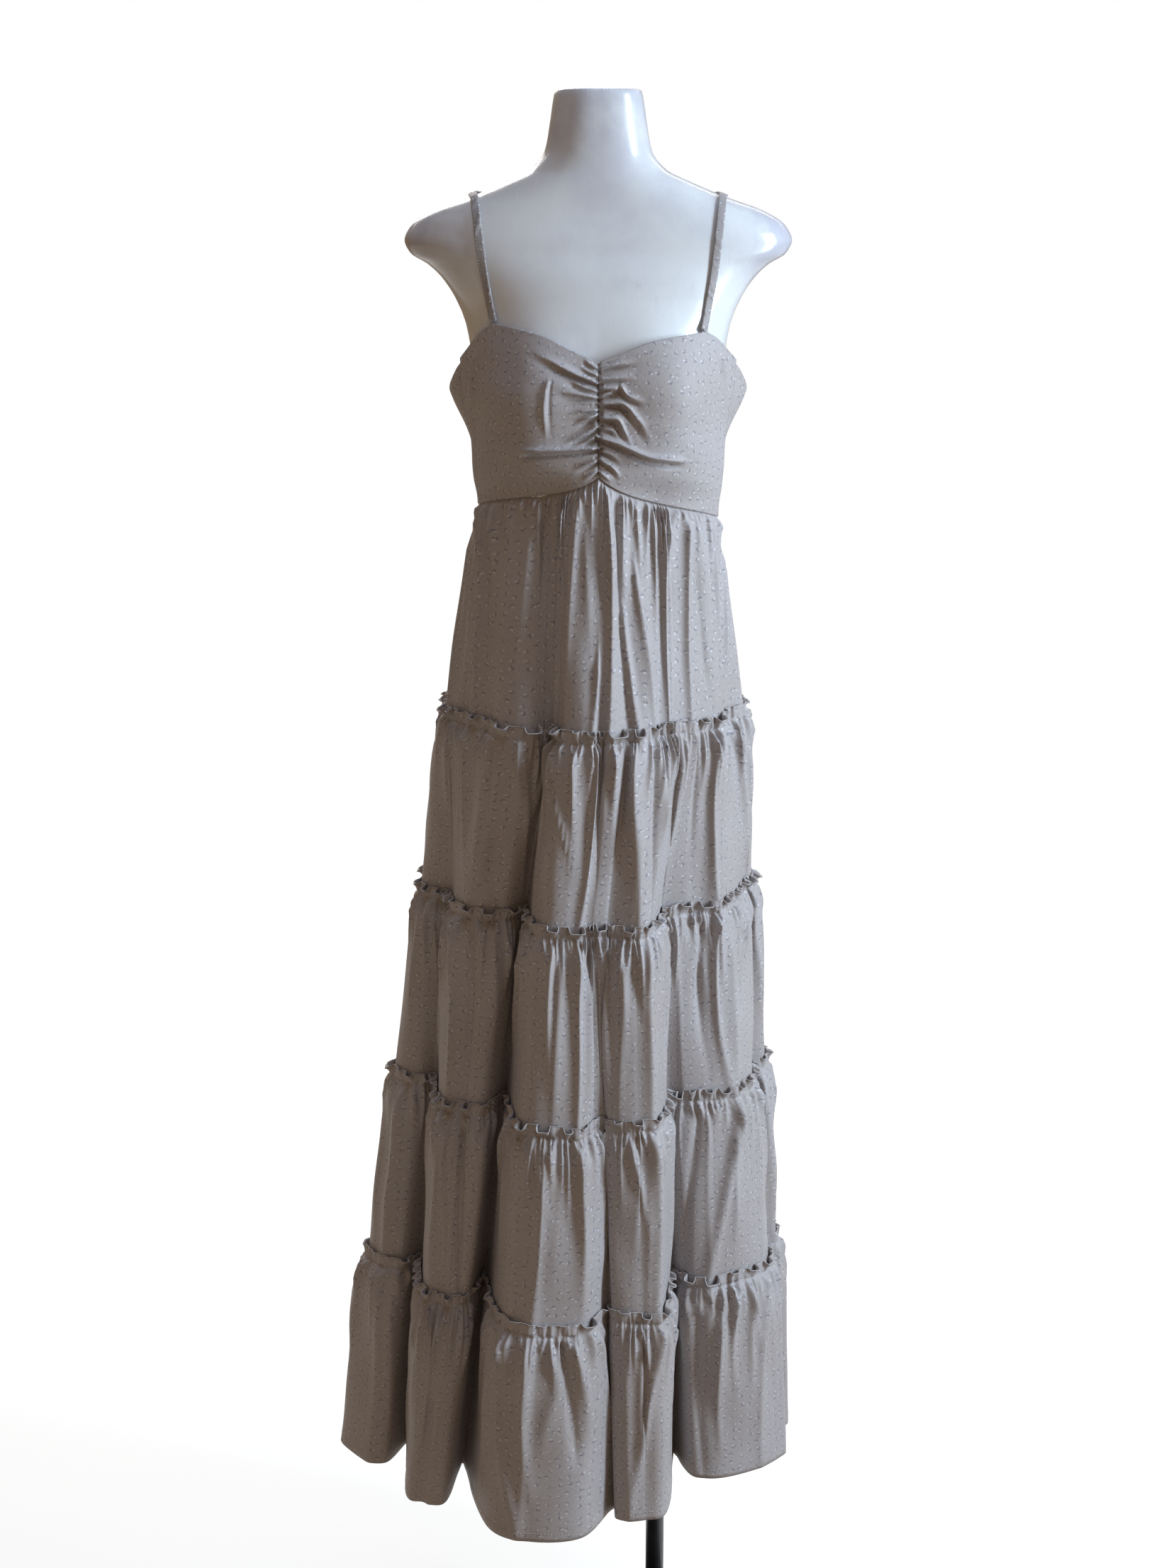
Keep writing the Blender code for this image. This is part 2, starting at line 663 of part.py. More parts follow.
def bodice(material):
    """Two ruched front panels and one back panel."""
    bearing = np.sort(np.mod(waist_bearings(), 360.0))
    right = bearing[(bearing >= CENTRE_SEAM) & (bearing <= SIDE_SEAM + 1e-6)]
    back = bearing[(bearing >= SIDE_SEAM - 1e-6) & (bearing <= 360.0 - SIDE_SEAM + 1e-6)]
    left = bearing[bearing >= 360.0 - SIDE_SEAM - 1e-6]
    left = np.append(left, 360.0)
    panel("bodice_front_right", right, FRONT_ROWS, material, True)
    panel("bodice_front_left", left, FRONT_ROWS, material, True)
    panel("bodice_back", back, BACK_ROWS, material, False)


def form_hit(x, pivot, way):
    """Where a line in the upright plane at x leaves the dress form."""
    near = 0.0
    far = SEARCH_REACH
    for _ in range(SEARCH_STEPS):
        middle = (near + far) / 2.0
        y = pivot[0] + way[0] * middle
        z = pivot[1] + way[1] * middle
        bearing = math.degrees(math.atan2(x, -y))
        inside = z < FORM_LEVELS[-1].z and math.hypot(x, y) < float(form_reach(bearing, z))
        if inside:
            near = middle
        else:
            far = middle
    return pivot[0] + way[0] * far, pivot[1] + way[1] * far


def strap_ends(side):
    """Middle of the cloth's top edge where the strap is sewn, at the front and at the back."""
    ends = []
    for bearing in (STRAP_FRONT, STRAP_BACK):
        z = float(top_height(bearing))
        reach = float(bodice_reach(bearing, z)) - CLOTH / 2.0
        angle = math.radians(bearing)
        ends.append(np.array([side * reach * math.sin(angle), -reach * math.cos(angle), z + STRAP_LIFT]))
    return ends


def form_normal(point):
    """Direction out of the dress form at a point near its surface."""
    step = NORMAL_STEP
    slopes = []
    for axis in range(3):
        ends = []
        for sign in (1.0, -1.0):
            x, y, z = point + sign * step * np.eye(3)[axis]
            bearing = math.degrees(math.atan2(x, -y))
            ends.append(math.hypot(x, y) - float(form_reach(bearing, z)))
        slopes.append(ends[0] - ends[1])
    slopes = np.array(slopes)
    return slopes / np.linalg.norm(slopes)


def stations(points):
    """Fewer points along a line, closer together where it bends."""
    step = np.diff(points, axis=0)
    length = np.linalg.norm(step, axis=1)
    way = step / length[:, None]
    bend = np.arccos(np.clip(np.sum(way[1:] * way[:-1], axis=1), -1.0, 1.0))
    weight = length + STRAP_BEND_WEIGHT * np.append(bend, 0.0)
    place = np.append(0.0, np.cumsum(weight))
    wanted = np.linspace(0.0, place[-1], STRAP_STATIONS)
    return np.column_stack([np.interp(wanted, place, points[:, axis]) for axis in range(3)])


def strap_line(side):
    """Centre line of a strap over the shoulder, with its outward and sideways directions."""
    front, back = strap_ends(side)
    start = math.atan2(front[2] - STRAP_PIVOT_Z, -front[1])
    stop = math.pi - math.atan2(back[2] - STRAP_PIVOT_Z, back[1])
    top_share = (math.pi / 2.0 - start) / (stop - start)
    points = []
    for share in np.linspace(0.0, 1.0, STRAP_SAMPLES):
        angle = start + (stop - start) * share
        if share < top_share:
            x = front[0] + (side * STRAP_TOP_X - front[0]) * share / top_share
        else:
            x = side * STRAP_TOP_X + (back[0] - side * STRAP_TOP_X) * (share - top_share) / (1.0 - top_share)
        y, z = form_hit(x, (0.0, STRAP_PIVOT_Z), (-math.cos(angle), math.sin(angle)))
        points.append((x, y, z))
    line = stations(np.array(points))
    out = np.array([form_normal(point) for point in line])
    line = line + out * (STRAP_CLEAR + STRAP_THICK / 2.0)
    for end, point in ((0, front), (-1, back)):
        line[end] = point
        out[end] = np.array([point[0], point[1], 0.0]) / math.hypot(point[0], point[1])
    along = np.gradient(line, axis=0)
    across = np.cross(along, out)
    across = across / np.linalg.norm(across, axis=1, keepdims=True)
    for end in (0, -1):
        across[end, 2] = 0.0
        across[end] = across[end] / np.linalg.norm(across[end])
    return line, out, across


def strap(name, side, material):
    """A narrow flat strap with rounded sides."""
    line, out, across = strap_line(side)
    vertices = []
    faces = []
    for point, thick_way, wide_way in zip(line, out, across):
        for wide, thick in STRAP_SECTION:
            vertices.append(point + wide_way * wide * STRAP_WIDTH + thick_way * thick * STRAP_THICK)
    count = len(STRAP_SECTION)
    for i in range(len(line) - 1):
        for k in range(count):
            m = (k + 1) % count
            faces.append((i * count + k, i * count + m, (i + 1) * count + m, (i + 1) * count + k))
    faces.append(tuple(range(count)))
    faces.append(tuple(range((len(line) - 1) * count, len(line) * count)))
    return new_object(name, vertices, faces, material, True)


def dress_form(material):
    """The whole smooth form, from its flat underside to the flat top of its neck."""
    bearing = np.arange(FORM_COLUMNS) * 360.0 / FORM_COLUMNS
    angle = np.radians(bearing)
    vertices = []
    rings = []
    heights = [row.z for row in FORM_LEVELS]
    for low, high in zip(heights, heights[1:]):
        if SHOULDER_LOW <= low and high <= SHOULDER_HIGH:
            heights = heights + [(low + high) / 2.0]
    rows = [(z, 1.0) for z in sorted(heights)] + [(FORM_TOP, FORM_TOP_SHARE)]
    for z, share in rows:
        reach = form_reach(bearing, min(z, FORM_LEVELS[-1].z)) * share
        ring = np.column_stack([reach * np.sin(angle), -reach * np.cos(angle), np.full(len(angle), z)])
        rings.append(list(range(len(vertices), len(vertices) + len(ring))))
        vertices.extend(ring)
    faces = []
    for lower, upper in zip(rings, rings[1:]):
        stitch_rings(faces, lower, upper)
    faces.append(tuple(rings[0]))
    faces.append(tuple(rings[-1]))
    return new_object("dress_form", vertices, faces, material, True)


def turned(name, profile, x, y, sides, material):
    """A solid of revolution from rows of radius and height."""
    vertices = []
    rings = []
    for radius, z in profile:
        rings.append(list(range(len(vertices), len(vertices) + sides)))
        for k in range(sides):
            angle = 2.0 * math.pi * k / sides
            vertices.append((x + radius * math.cos(angle), y + radius * math.sin(angle), z))
    faces = []
    for lower, upper in zip(rings, rings[1:]):
        stitch_rings(faces, lower, upper)
    faces.append(tuple(rings[0]))
    faces.append(tuple(rings[-1]))
    return new_object(name, vertices, faces, material, False)


def stand(material):
    """A plain round foot and an upright pole under the form."""
    foot = (
        (BASE_RADIUS - BASE_ROUND, 0.0),
        (BASE_RADIUS, BASE_ROUND),
        (BASE_RADIUS, BASE_THICK - BASE_ROUND),
        (BASE_RADIUS - BASE_ROUND, BASE_THICK),
    )
    turned("stand_base", foot, 0.0, 0.0, BASE_SIDES, material)
    pole = ((POLE_RADIUS, BASE_THICK), (POLE_RADIUS, FORM_LEVELS[0].z))
    turned("stand_pole", pole, POLE_X, POLE_Y, POLE_SIDES, material)


def main():
    clear_scene()
    bodice(finish_material("bodice_cloth", CLOTH_FINISH))
    skirt_cloth = finish_material("skirt_cloth", CLOTH_FINISH)
    first_tier(skirt_cloth)
    lower_tier("skirt_tier_2", SEAM_1, SEAM_2, skirt_cloth)
    lower_tier("skirt_tier_3", SEAM_2, SEAM_3, skirt_cloth)
    lower_tier("skirt_tier_4", SEAM_3, SEAM_4, skirt_cloth)
    lower_tier("skirt_tier_5", SEAM_4, None, skirt_cloth)
    strap_cloth = finish_material("strap_cloth", CLOTH_FINISH)
    strap("strap_left", -1.0, strap_cloth)
    strap("strap_right", 1.0, strap_cloth)
    dress_form(finish_material("form_gloss", FORM_FINISH))
    stand(finish_material("stand_black", STEEL_FINISH))


main()
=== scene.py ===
"""The looks of the tiered strap dress on its dress form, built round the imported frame.

Metres, +Z up, front facing -Y. A bearing is counted in degrees from the front, so 0 is the
front, 90 is +X, 180 is the back and 270 is -X. A place round the skirt is a share of one turn,
from the first valley on. A depth is counted in metres below the seam that a tier hangs from.
"""
import json
import math
from collections import namedtuple

import bpy
import bmesh
import numpy as np
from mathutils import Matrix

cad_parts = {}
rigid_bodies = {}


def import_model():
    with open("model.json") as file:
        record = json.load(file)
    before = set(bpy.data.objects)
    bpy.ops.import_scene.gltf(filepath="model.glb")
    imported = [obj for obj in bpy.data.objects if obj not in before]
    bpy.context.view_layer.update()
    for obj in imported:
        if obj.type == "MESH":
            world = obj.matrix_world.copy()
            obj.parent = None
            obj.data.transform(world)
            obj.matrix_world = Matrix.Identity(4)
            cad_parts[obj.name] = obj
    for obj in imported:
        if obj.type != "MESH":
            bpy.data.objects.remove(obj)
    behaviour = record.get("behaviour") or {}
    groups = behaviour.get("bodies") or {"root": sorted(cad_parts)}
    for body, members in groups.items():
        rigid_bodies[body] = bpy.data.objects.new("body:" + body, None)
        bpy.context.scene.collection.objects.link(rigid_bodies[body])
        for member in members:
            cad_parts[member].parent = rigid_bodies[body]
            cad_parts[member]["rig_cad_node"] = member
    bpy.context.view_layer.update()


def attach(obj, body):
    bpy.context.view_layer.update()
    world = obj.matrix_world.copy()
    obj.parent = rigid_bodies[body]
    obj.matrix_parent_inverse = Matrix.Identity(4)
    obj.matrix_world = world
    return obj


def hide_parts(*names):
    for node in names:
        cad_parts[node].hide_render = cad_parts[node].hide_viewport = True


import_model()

# Camera: place, downward pitch and lens, worked out from the photo's perspective
CAMERA_AT = (-0.0108, -2.546, 1.71)
CAMERA_PITCH = 13.646
CAMERA_LENS = 54.1
SENSOR = 36.0

# Cloth of the solids, and of the thin shells that stand for them
CLOTH = 0.0012
SEAM_GAP = 0.0003
GAUGE = 0.0006
BODICE_GAUGE = 0.0010
LAP = CLOTH + SEAM_GAP

# Heights of the seams that join the tiers, and of the hem
SEAM_1 = 1.168
SEAM_2 = 0.955
SEAM_3 = 0.735
SEAM_4 = 0.512
HEM = 0.272
WAIST_SIDE = 1.395
WAIST_FRONT_RISE = 0.027
WAIST_PEAK = 0.022
WAIST_PEAK_SPREAD = 13.0
WAIST_SECTION_TOP = 1.40
HEADING_HEIGHT = 0.013
UPPER_TUCK = 0.004
PUFF = 0.0055
PUFF_ROWS = ((0.0, 0.0), (0.14, 1.0), (0.52, 0.6), (1.0, 0.0))
NARROW = 0.012
WIDE = 0.020

# Small tilts of the waist seam and of the top edge that the photo shows. The solids don't have
# them, so these lines lie up to 8 mm off the solids'.
WAIST_TILT = 0.007
RIGHT_DROP = 0.008
RIGHT_DROP_AT = 54.0
RIGHT_DROP_SPREAD = 20.0
LEFT_RISE = 0.003
LEFT_RISE_AT = -30.0
LEFT_RISE_SPREAD = 16.0

# Bodice
SIDE_SEAM = 80.0
STRAP_FRONT = 57.0
STRAP_BACK = 142.0
BODICE_EASE = 0.0052
UNDERARM_EASE = 0.0050
UNDERARM_START = 20.0
UNDERARM_SPREAD = 60.0
UNDERARM_TOP = 1.50
UNDERARM_DROP = 0.06
MIDRIFF_EASE = 0.0130
MIDRIFF_SPREAD = 40.0
MIDRIFF_TOP = 1.475
MIDRIFF_DROP = 0.05
WAIST_SETTLE = 0.18
WING_FLARE = 0.021
WING_BEARING = 97.0
WING_SPREAD = 15.0
WING_START = 1.455
WING_FULL = 1.525

# Straps
STRAP_WIDTH = 0.0088
STRAP_THICK = 0.0020
STRAP_CLEAR = 0.0008
STRAP_LIFT = 0.0005
STRAP_SAMPLES = 360
STRAP_TOP_X = 0.1315
STRAP_PIVOT_Z = 1.62
NORMAL_STEP = 0.002
SEARCH_REACH = 0.30
SEARCH_STEPS = 40

# Stand
POLE_X = 0.071
POLE_Y = 0.048
POLE_RADIUS = 0.011
BASE_RADIUS = 0.160
BASE_THICK = 0.012

Fold = namedtuple("Fold", "name crest_x crest_y half facing valley_x valley_y")

FOLDS_SEAM_1 = (
    Fold("centre_left", -0.018, -0.134, 0.020, 352, 0.016, -0.1295),
    Fold("centre_right", 0.050, -0.117, 0.018, 28, 0.083, -0.087),
    Fold("right", 0.130, -0.048, 0.030, 60, 0.160, 0.008),
    Fold("right_back", 0.162, 0.048, 0.018, 95, 0.153, 0.083),
    Fold("back_right", 0.113, 0.136, 0.028, 145, 0.060, 0.148),
    Fold("back_centre", 0.000, 0.165, 0.028, 180, -0.057, 0.148),
    Fold("back_left", -0.113, 0.138, 0.028, 215, -0.153, 0.100),
    Fold("left_back", -0.171, 0.074, 0.014, 262, -0.165, 0.044),
    Fold("far_left", -0.168, 0.010, 0.015, 277, -0.151, -0.022),
    Fold("left", -0.105, -0.094, 0.030, 316, -0.048, -0.102),
)
FOLDS_SEAM_2 = (
    Fold("centre_left", -0.040, -0.136, 0.026, 354, 0.001, -0.129),
    Fold("centre_right", 0.037, -0.131, 0.024, 10, 0.070, -0.060),
    Fold("right", 0.138, -0.024, 0.036, 45, 0.166, 0.052),
    Fold("right_back", 0.179, 0.088, 0.022, 100, 0.142, 0.114),
    Fold("back_right", 0.104, 0.166, 0.030, 150, 0.054, 0.128),
    Fold("back_centre", 0.000, 0.176, 0.030, 180, -0.052, 0.130),
    Fold("back_left", -0.104, 0.164, 0.030, 212, -0.146, 0.118),
    Fold("left_back", -0.198, 0.112, 0.020, 258, -0.180, 0.082),
    Fold("far_left", -0.201, 0.040, 0.020, 285, -0.166, 0.006),
    Fold("left", -0.138, -0.060, 0.032, 325, -0.080, -0.052),
)
FOLDS_HEM = (
    Fold("centre_left", -0.075, -0.196, 0.055, 348, 0.018, -0.128),
    Fold("centre_right", 0.053, -0.152, 0.030, 14, 0.092, -0.014),
    Fold("right", 0.180, -0.047, 0.062, 30, 0.202, 0.052),
    Fold("right_back", 0.232, 0.098, 0.030, 105, 0.165, 0.120),
    Fold("back_right", 0.132, 0.205, 0.042, 152, 0.072, 0.132),
    Fold("back_centre", 0.005, 0.222, 0.044, 181, -0.058, 0.138),
    Fold("back_left", -0.130, 0.212, 0.044, 208, -0.172, 0.124),
    Fold("left_back", -0.280, 0.120, 0.034, 250, -0.242, 0.078),
    Fold("far_left", -0.290, -0.004, 0.042, 312, -0.228, 0.014),
    Fold("left", -0.200, -0.114, 0.024, 340, -0.158, -0.040),
)
FLANK_DROP = 0.34
VALLEY_FLOOR = 0.009
CONTROLS_PER_FOLD = 5
CONTROLS = CONTROLS_PER_FOLD * len(FOLDS_HEM)
EVEN_SAMPLES = 6001

Level = namedtuple("Level", "z half_width front back bust")

FORM_LEVELS = (
    Level(1.060, 0.119, 0.064, 0.084, 0.000),
    Level(1.066, 0.124, 0.069, 0.090, 0.000),
    Level(1.085, 0.130, 0.074, 0.097, 0.000),
    Level(1.125, 0.133, 0.080, 0.107, 0.000),
    Level(1.175, 0.133, 0.085, 0.110, 0.000),
    Level(1.245, 0.125, 0.084, 0.099, 0.000),
    Level(1.320, 0.110, 0.079, 0.083, 0.000),
    Level(1.390, 0.117, 0.086, 0.087, 0.000),
    Level(1.440, 0.122, 0.093, 0.092, 0.004),
    Level(1.480, 0.126, 0.098, 0.095, 0.011),
    Level(1.520, 0.130, 0.099, 0.097, 0.015),
    Level(1.560, 0.134, 0.095, 0.098, 0.009),
    Level(1.595, 0.140, 0.088, 0.097, 0.003),
    Level(1.620, 0.150, 0.082, 0.094, 0.000),
    Level(1.643, 0.165, 0.076, 0.090, 0.000),
    Level(1.657, 0.180, 0.071, 0.086, 0.000),
    Level(1.668, 0.198, 0.067, 0.083, 0.000),
    Level(1.681, 0.204, 0.064, 0.080, 0.000),
    Level(1.697, 0.196, 0.060, 0.076, 0.000),
    Level(1.711, 0.174, 0.057, 0.073, 0.000),
    Level(1.725, 0.135, 0.055, 0.070, 0.000),
    Level(1.740, 0.098, 0.053, 0.065, 0.000),
    Level(1.753, 0.071, 0.051, 0.060, 0.000),
    Level(1.772, 0.056, 0.049, 0.055, 0.000),
    Level(1.800, 0.0505, 0.047, 0.051, 0.000),
    Level(1.826, 0.0465, 0.044, 0.047, 0.000),
    Level(1.8315, 0.0450, 0.0425, 0.0455, 0.000),
)
FORM_TOP = 1.8330
FORM_SQUARE = 2.35
BUST_BEARING = 38.0
BUST_SPREAD = 21.0

Edge = namedtuple("Edge", "bearing z")

TOP_EDGE = (
    Edge(0.0, 1.5605),
    Edge(14.0, 1.5700),
    Edge(34.0, 1.5860),
    Edge(52.0, 1.5962),
    Edge(57.0, 1.5975),
    Edge(62.0, 1.5925),
    Edge(70.0, 1.5785),
    Edge(80.0, 1.5600),
    Edge(97.0, 1.5290),
    Edge(125.0, 1.5150),
    Edge(142.0, 1.5110),
    Edge(180.0, 1.5080),
)

Ruche = namedtuple("Ruche", "side start_z bend reach width height")

RUCHES = (
    Ruche(-1, 1.524, 0.036, 44.0, 0.0075, 0.0026),
    Ruche(-1, 1.504, 0.010, 26.0, 0.0060, 0.0022),
    Ruche(-1, 1.472, -0.002, 40.0, 0.0070, 0.0030),
    Ruche(1, 1.536, 0.012, 32.0, 0.0065, 0.0024),
    Ruche(1, 1.508, -0.020, 42.0, 0.0070, 0.0028),
    Ruche(1, 1.478, -0.018, 50.0, 0.0075, 0.0030),
)
RUCHE_CURVE = 1.3
RUCHE_ONSET = 0.08
RUCHE_MARGIN = 0.1

Tier = namedtuple("Tier", "number top bottom columns seed")

TIERS = (
    Tier(1, None, SEAM_1, 900, 11),
    Tier(2, SEAM_1, SEAM_2, 950, 12),
    Tier(3, SEAM_2, SEAM_3, 1010, 13),
    Tier(4, SEAM_3, SEAM_4, 1050, 14),
    Tier(5, SEAM_4, HEM, 1090, 15),
)
# How much closer a tier's columns stand at the front, and where they are closest
CROWDING = 0.34
CROWDED_AT = 0.135


def column_shares(columns):
    """Places of a tier's columns, closer together at the front."""
    even = np.arange(columns) / columns
    share = even - CROWDING / (2.0 * math.pi) * np.sin(2.0 * math.pi * (even - CROWDED_AT))
    return share - share[0]


# Shape functions. They are the solids' own, but for the tilts named above.

def through(xs, ys, x):
    """A smooth curve through the rows of a table that never overshoots them."""
    xs = np.asarray(xs, float)
    ys = np.asarray(ys, float)
    x = np.clip(np.asarray(x, float), xs[0], xs[-1])
    step = np.diff(xs)
    slope = np.diff(ys) / step
    tangent = np.zeros_like(ys)
    product = slope[:-1] * slope[1:]
    tangent[1:-1] = np.where(product > 0.0,
                             2.0 * product / (slope[:-1] + slope[1:] + 1e-12), 0.0)
    tangent[0] = slope[0]
    tangent[-1] = slope[-1]
    row = np.clip(np.searchsorted(xs, x, side="right") - 1, 0, len(xs) - 2)
    t = (x - xs[row]) / step[row]
    start = ys[row] * (1.0 + 2.0 * t) * (1.0 - t) ** 2
    end = ys[row + 1] * t * t * (3.0 - 2.0 * t)
    lean = tangent[row] * t * (1.0 - t) ** 2 + tangent[row + 1] * t * t * (t - 1.0)
    return start + end + step[row] * lean


def ease(t):
    """0 to 1 with soft ends."""
    t = np.clip(t, 0.0, 1.0)
    return t * t * (3.0 - 2.0 * t)


def signed_bearing(bearing):
    """A bearing from -180 to 180."""
    return np.mod(np.asarray(bearing, float) + 180.0, 360.0) - 180.0


def from_front(bearing):
    """Degrees from the front on either side, 0 to 180."""
    return np.abs(signed_bearing(bearing))


def oval(bearing, half_width, front, back):
    """Distance from the axis to a slightly squared oval, in the direction of a bearing."""
    angle = np.radians(bearing)
    depth = np.where(np.cos(angle) > 0.0, front, back)
    across = np.abs(np.sin(angle)) / half_width
    along = np.abs(np.cos(angle)) / depth
    return (across ** FORM_SQUARE + along ** FORM_SQUARE) ** (-1.0 / FORM_SQUARE)


def form_reach(bearing, z):
    """Distance from the axis to the dress form's surface."""
    heights = [row.z for row in FORM_LEVELS]
    half_width = through(heights, [row.half_width for row in FORM_LEVELS], z)
    front = through(heights, [row.front for row in FORM_LEVELS], z)
    back = through(heights, [row.back for row in FORM_LEVELS], z)
    bust = through(heights, [row.bust for row in FORM_LEVELS], z)
    swell = np.exp(-(((from_front(bearing) - BUST_BEARING) / BUST_SPREAD) ** 2))
    return oval(bearing, half_width, front, back) + bust * swell


def waist_height(bearing):
    """Height of the waist seam."""
    angle = np.radians(bearing)
    rise = WAIST_FRONT_RISE * np.maximum(np.cos(angle), 0.0)
    peak = WAIST_PEAK * np.exp(-from_front(bearing) / WAIST_PEAK_SPREAD)
    return WAIST_SIDE + rise + peak - WAIST_TILT * np.sin(angle)


def top_height(bearing):
    """Height of the bodice's top edge."""
    level = through([row.bearing for row in TOP_EDGE], [row.z for row in TOP_EDGE],
                    from_front(bearing))
    signed = signed_bearing(bearing)
    right = RIGHT_DROP * np.exp(-(((signed - RIGHT_DROP_AT) / RIGHT_DROP_SPREAD) ** 2))
    left = LEFT_RISE * np.exp(-(((signed - LEFT_RISE_AT) / LEFT_RISE_SPREAD) ** 2))
    return level - right + left


def bodice_reach(bearing, z):
    """Distance from the axis to the bodice's outer face, without the ruching."""
    away = from_front(bearing)
    flare = np.exp(-(((away - WING_BEARING) / WING_SPREAD) ** 2))
    flare = flare * ease((z - WING_START) / (WING_FULL - WING_START))
    underarm = ease((away - UNDERARM_START) / UNDERARM_SPREAD)
    underarm = underarm * ease((UNDERARM_TOP - z) / UNDERARM_DROP)
    midriff = ease((MIDRIFF_SPREAD - away) / MIDRIFF_SPREAD)
    midriff = midriff * ease((MIDRIFF_TOP - z) / MIDRIFF_DROP)
    loose = UNDERARM_EASE * underarm + MIDRIFF_EASE * midriff
    return form_reach(bearing, z) + BODICE_EASE + CLOTH + loose + WING_FLARE * flare


def ruching(bearing, z):
    """Height of the large folds that run out of the centre front seam."""
    signed = signed_bearing(bearing)
    total = np.zeros_like(signed + z)
    for fold in RUCHES:
        along = signed * fold.side / fold.reach
        inside = (along >= 0.0) & (along <= 1.0)
        line = fold.start_z + fold.bend * np.maximum(along, 0.0) ** RUCHE_CURVE
        across = (z - line) / fold.width
        fade = ease(along / RUCHE_ONSET) * (1.0 - ease(along))
        total = total + np.where(inside, fold.height * fade * np.exp(-across * across), 0.0)
    return total


def fold_controls(folds):
    """Control points of one section: two on each valley floor, then flank, crest and flank."""
    crests = np.array([(row.crest_x, row.crest_y) for row in folds])
    halves = np.array([row.half for row in folds])[:, None]
    facing = np.radians([row.facing for row in folds])
    outward = np.stack([np.sin(facing), -np.cos(facing)], axis=1)
    sideways = np.stack([np.cos(facing), np.sin(facing)], axis=1)
    first_flank = crests - halves * sideways - FLANK_DROP * halves * outward
    last_flank = crests + halves * sideways - FLANK_DROP * halves * outward
    valleys = np.roll(np.array([(row.valley_x, row.valley_y) for row in folds]), 1, axis=0)
    floor = first_flank - np.roll(last_flank, 1, axis=0)
    floor = floor / np.linalg.norm(floor, axis=1, keepdims=True) * VALLEY_FLOOR / 2.0
    rows = np.stack([valleys - floor, valleys + floor, first_flank, crests, last_flank], axis=1)
    return rows.reshape(-1, 2)


def waist_controls():
    """The first section's controls, drawn in to the smooth waist."""
    flat = fold_controls(FOLDS_SEAM_1)
    bearing = np.degrees(np.arctan2(flat[:, 0], -flat[:, 1]))
    reach = bodice_reach(bearing, WAIST_SIDE)
    angle = np.radians(bearing)
    return np.stack([reach * np.sin(angle), -reach * np.cos(angle)], axis=1)


def closed_curve(controls, steps):
    """Points of a closed smooth curve through the controls, at places counted in controls."""
    count = len(controls)
    steps = np.asarray(steps, float)
    first = np.floor(steps).astype(int)
    t = (steps - first)[:, None]
    before = controls[(first - 1) % count]
    start = controls[first % count]
    end = controls[(first + 1) % count]
    after = controls[(first + 2) % count]
    tangent = 0.5 * (end - before)
    next_tangent = 0.5 * (after - start)
    a = start * (1.0 + 2.0 * t) * (1.0 - t) ** 2
    b = end * t * t * (3.0 - 2.0 * t)
    return a + b + tangent * t * (1.0 - t) ** 2 + next_tangent * t * t * (t - 1.0)


SECTIONS = (
    (HEM, fold_controls(FOLDS_HEM)),
    (SEAM_2, fold_controls(FOLDS_SEAM_2)),
    (SEAM_1, fold_controls(FOLDS_SEAM_1)),
    (WAIST_SECTION_TOP, waist_controls()),
)


def even_steps():
    """Table that turns a share of the way round into control steps, even along the cloth."""
    steps = np.linspace(0.0, CONTROLS, EVEN_SAMPLES)
    length = np.zeros(len(steps) - 1)
    for _, controls in SECTIONS[:3]:
        ring = closed_curve(controls, steps[:-1])
        piece = np.linalg.norm(np.roll(ring, -1, axis=0) - ring, axis=1)
        length = length + piece / piece.sum()
    share = np.append(0.0, np.cumsum(length))
    return share / share[-1], steps


SHARE_TABLE, STEP_TABLE = even_steps()


def plan_at(z, share):
    """Plan of the skirt at one height, at shares of the way round."""
    steps = np.interp(np.mod(share, 1.0), SHARE_TABLE, STEP_TABLE)
    for (low, low_points), (high, high_points) in zip(SECTIONS, SECTIONS[1:]):
        if z <= high or high == WAIST_SECTION_TOP:
            mix = min(max((z - low) / (high - low), 0.0), 1.0)
            return closed_curve(low_points * (1.0 - mix) + high_points * mix, steps)
    raise ValueError("height above the waist")


def plan_frame(ring):
    """Outward directions of a closed plan, its inward curvature and its length."""
    ahead = np.roll(ring, -1, axis=0)
    behind = np.roll(ring, 1, axis=0)
    along = ahead - behind
    span = np.linalg.norm(along, axis=1, keepdims=True)
    along = along / span
    normal = np.stack([along[:, 1], -along[:, 0]], axis=1)
    second = ahead + behind - 2.0 * ring
    hollow = np.sum(second * normal, axis=1) / (span[:, 0] / 2.0) ** 2
    length = np.linalg.norm(ahead - ring, axis=1).sum()
    return normal, hollow, length


ROOM_COLUMNS = 200
ROOM_NEAREST = 1e-5
ROOM_LAP = 0.02
TINY = 1e-9


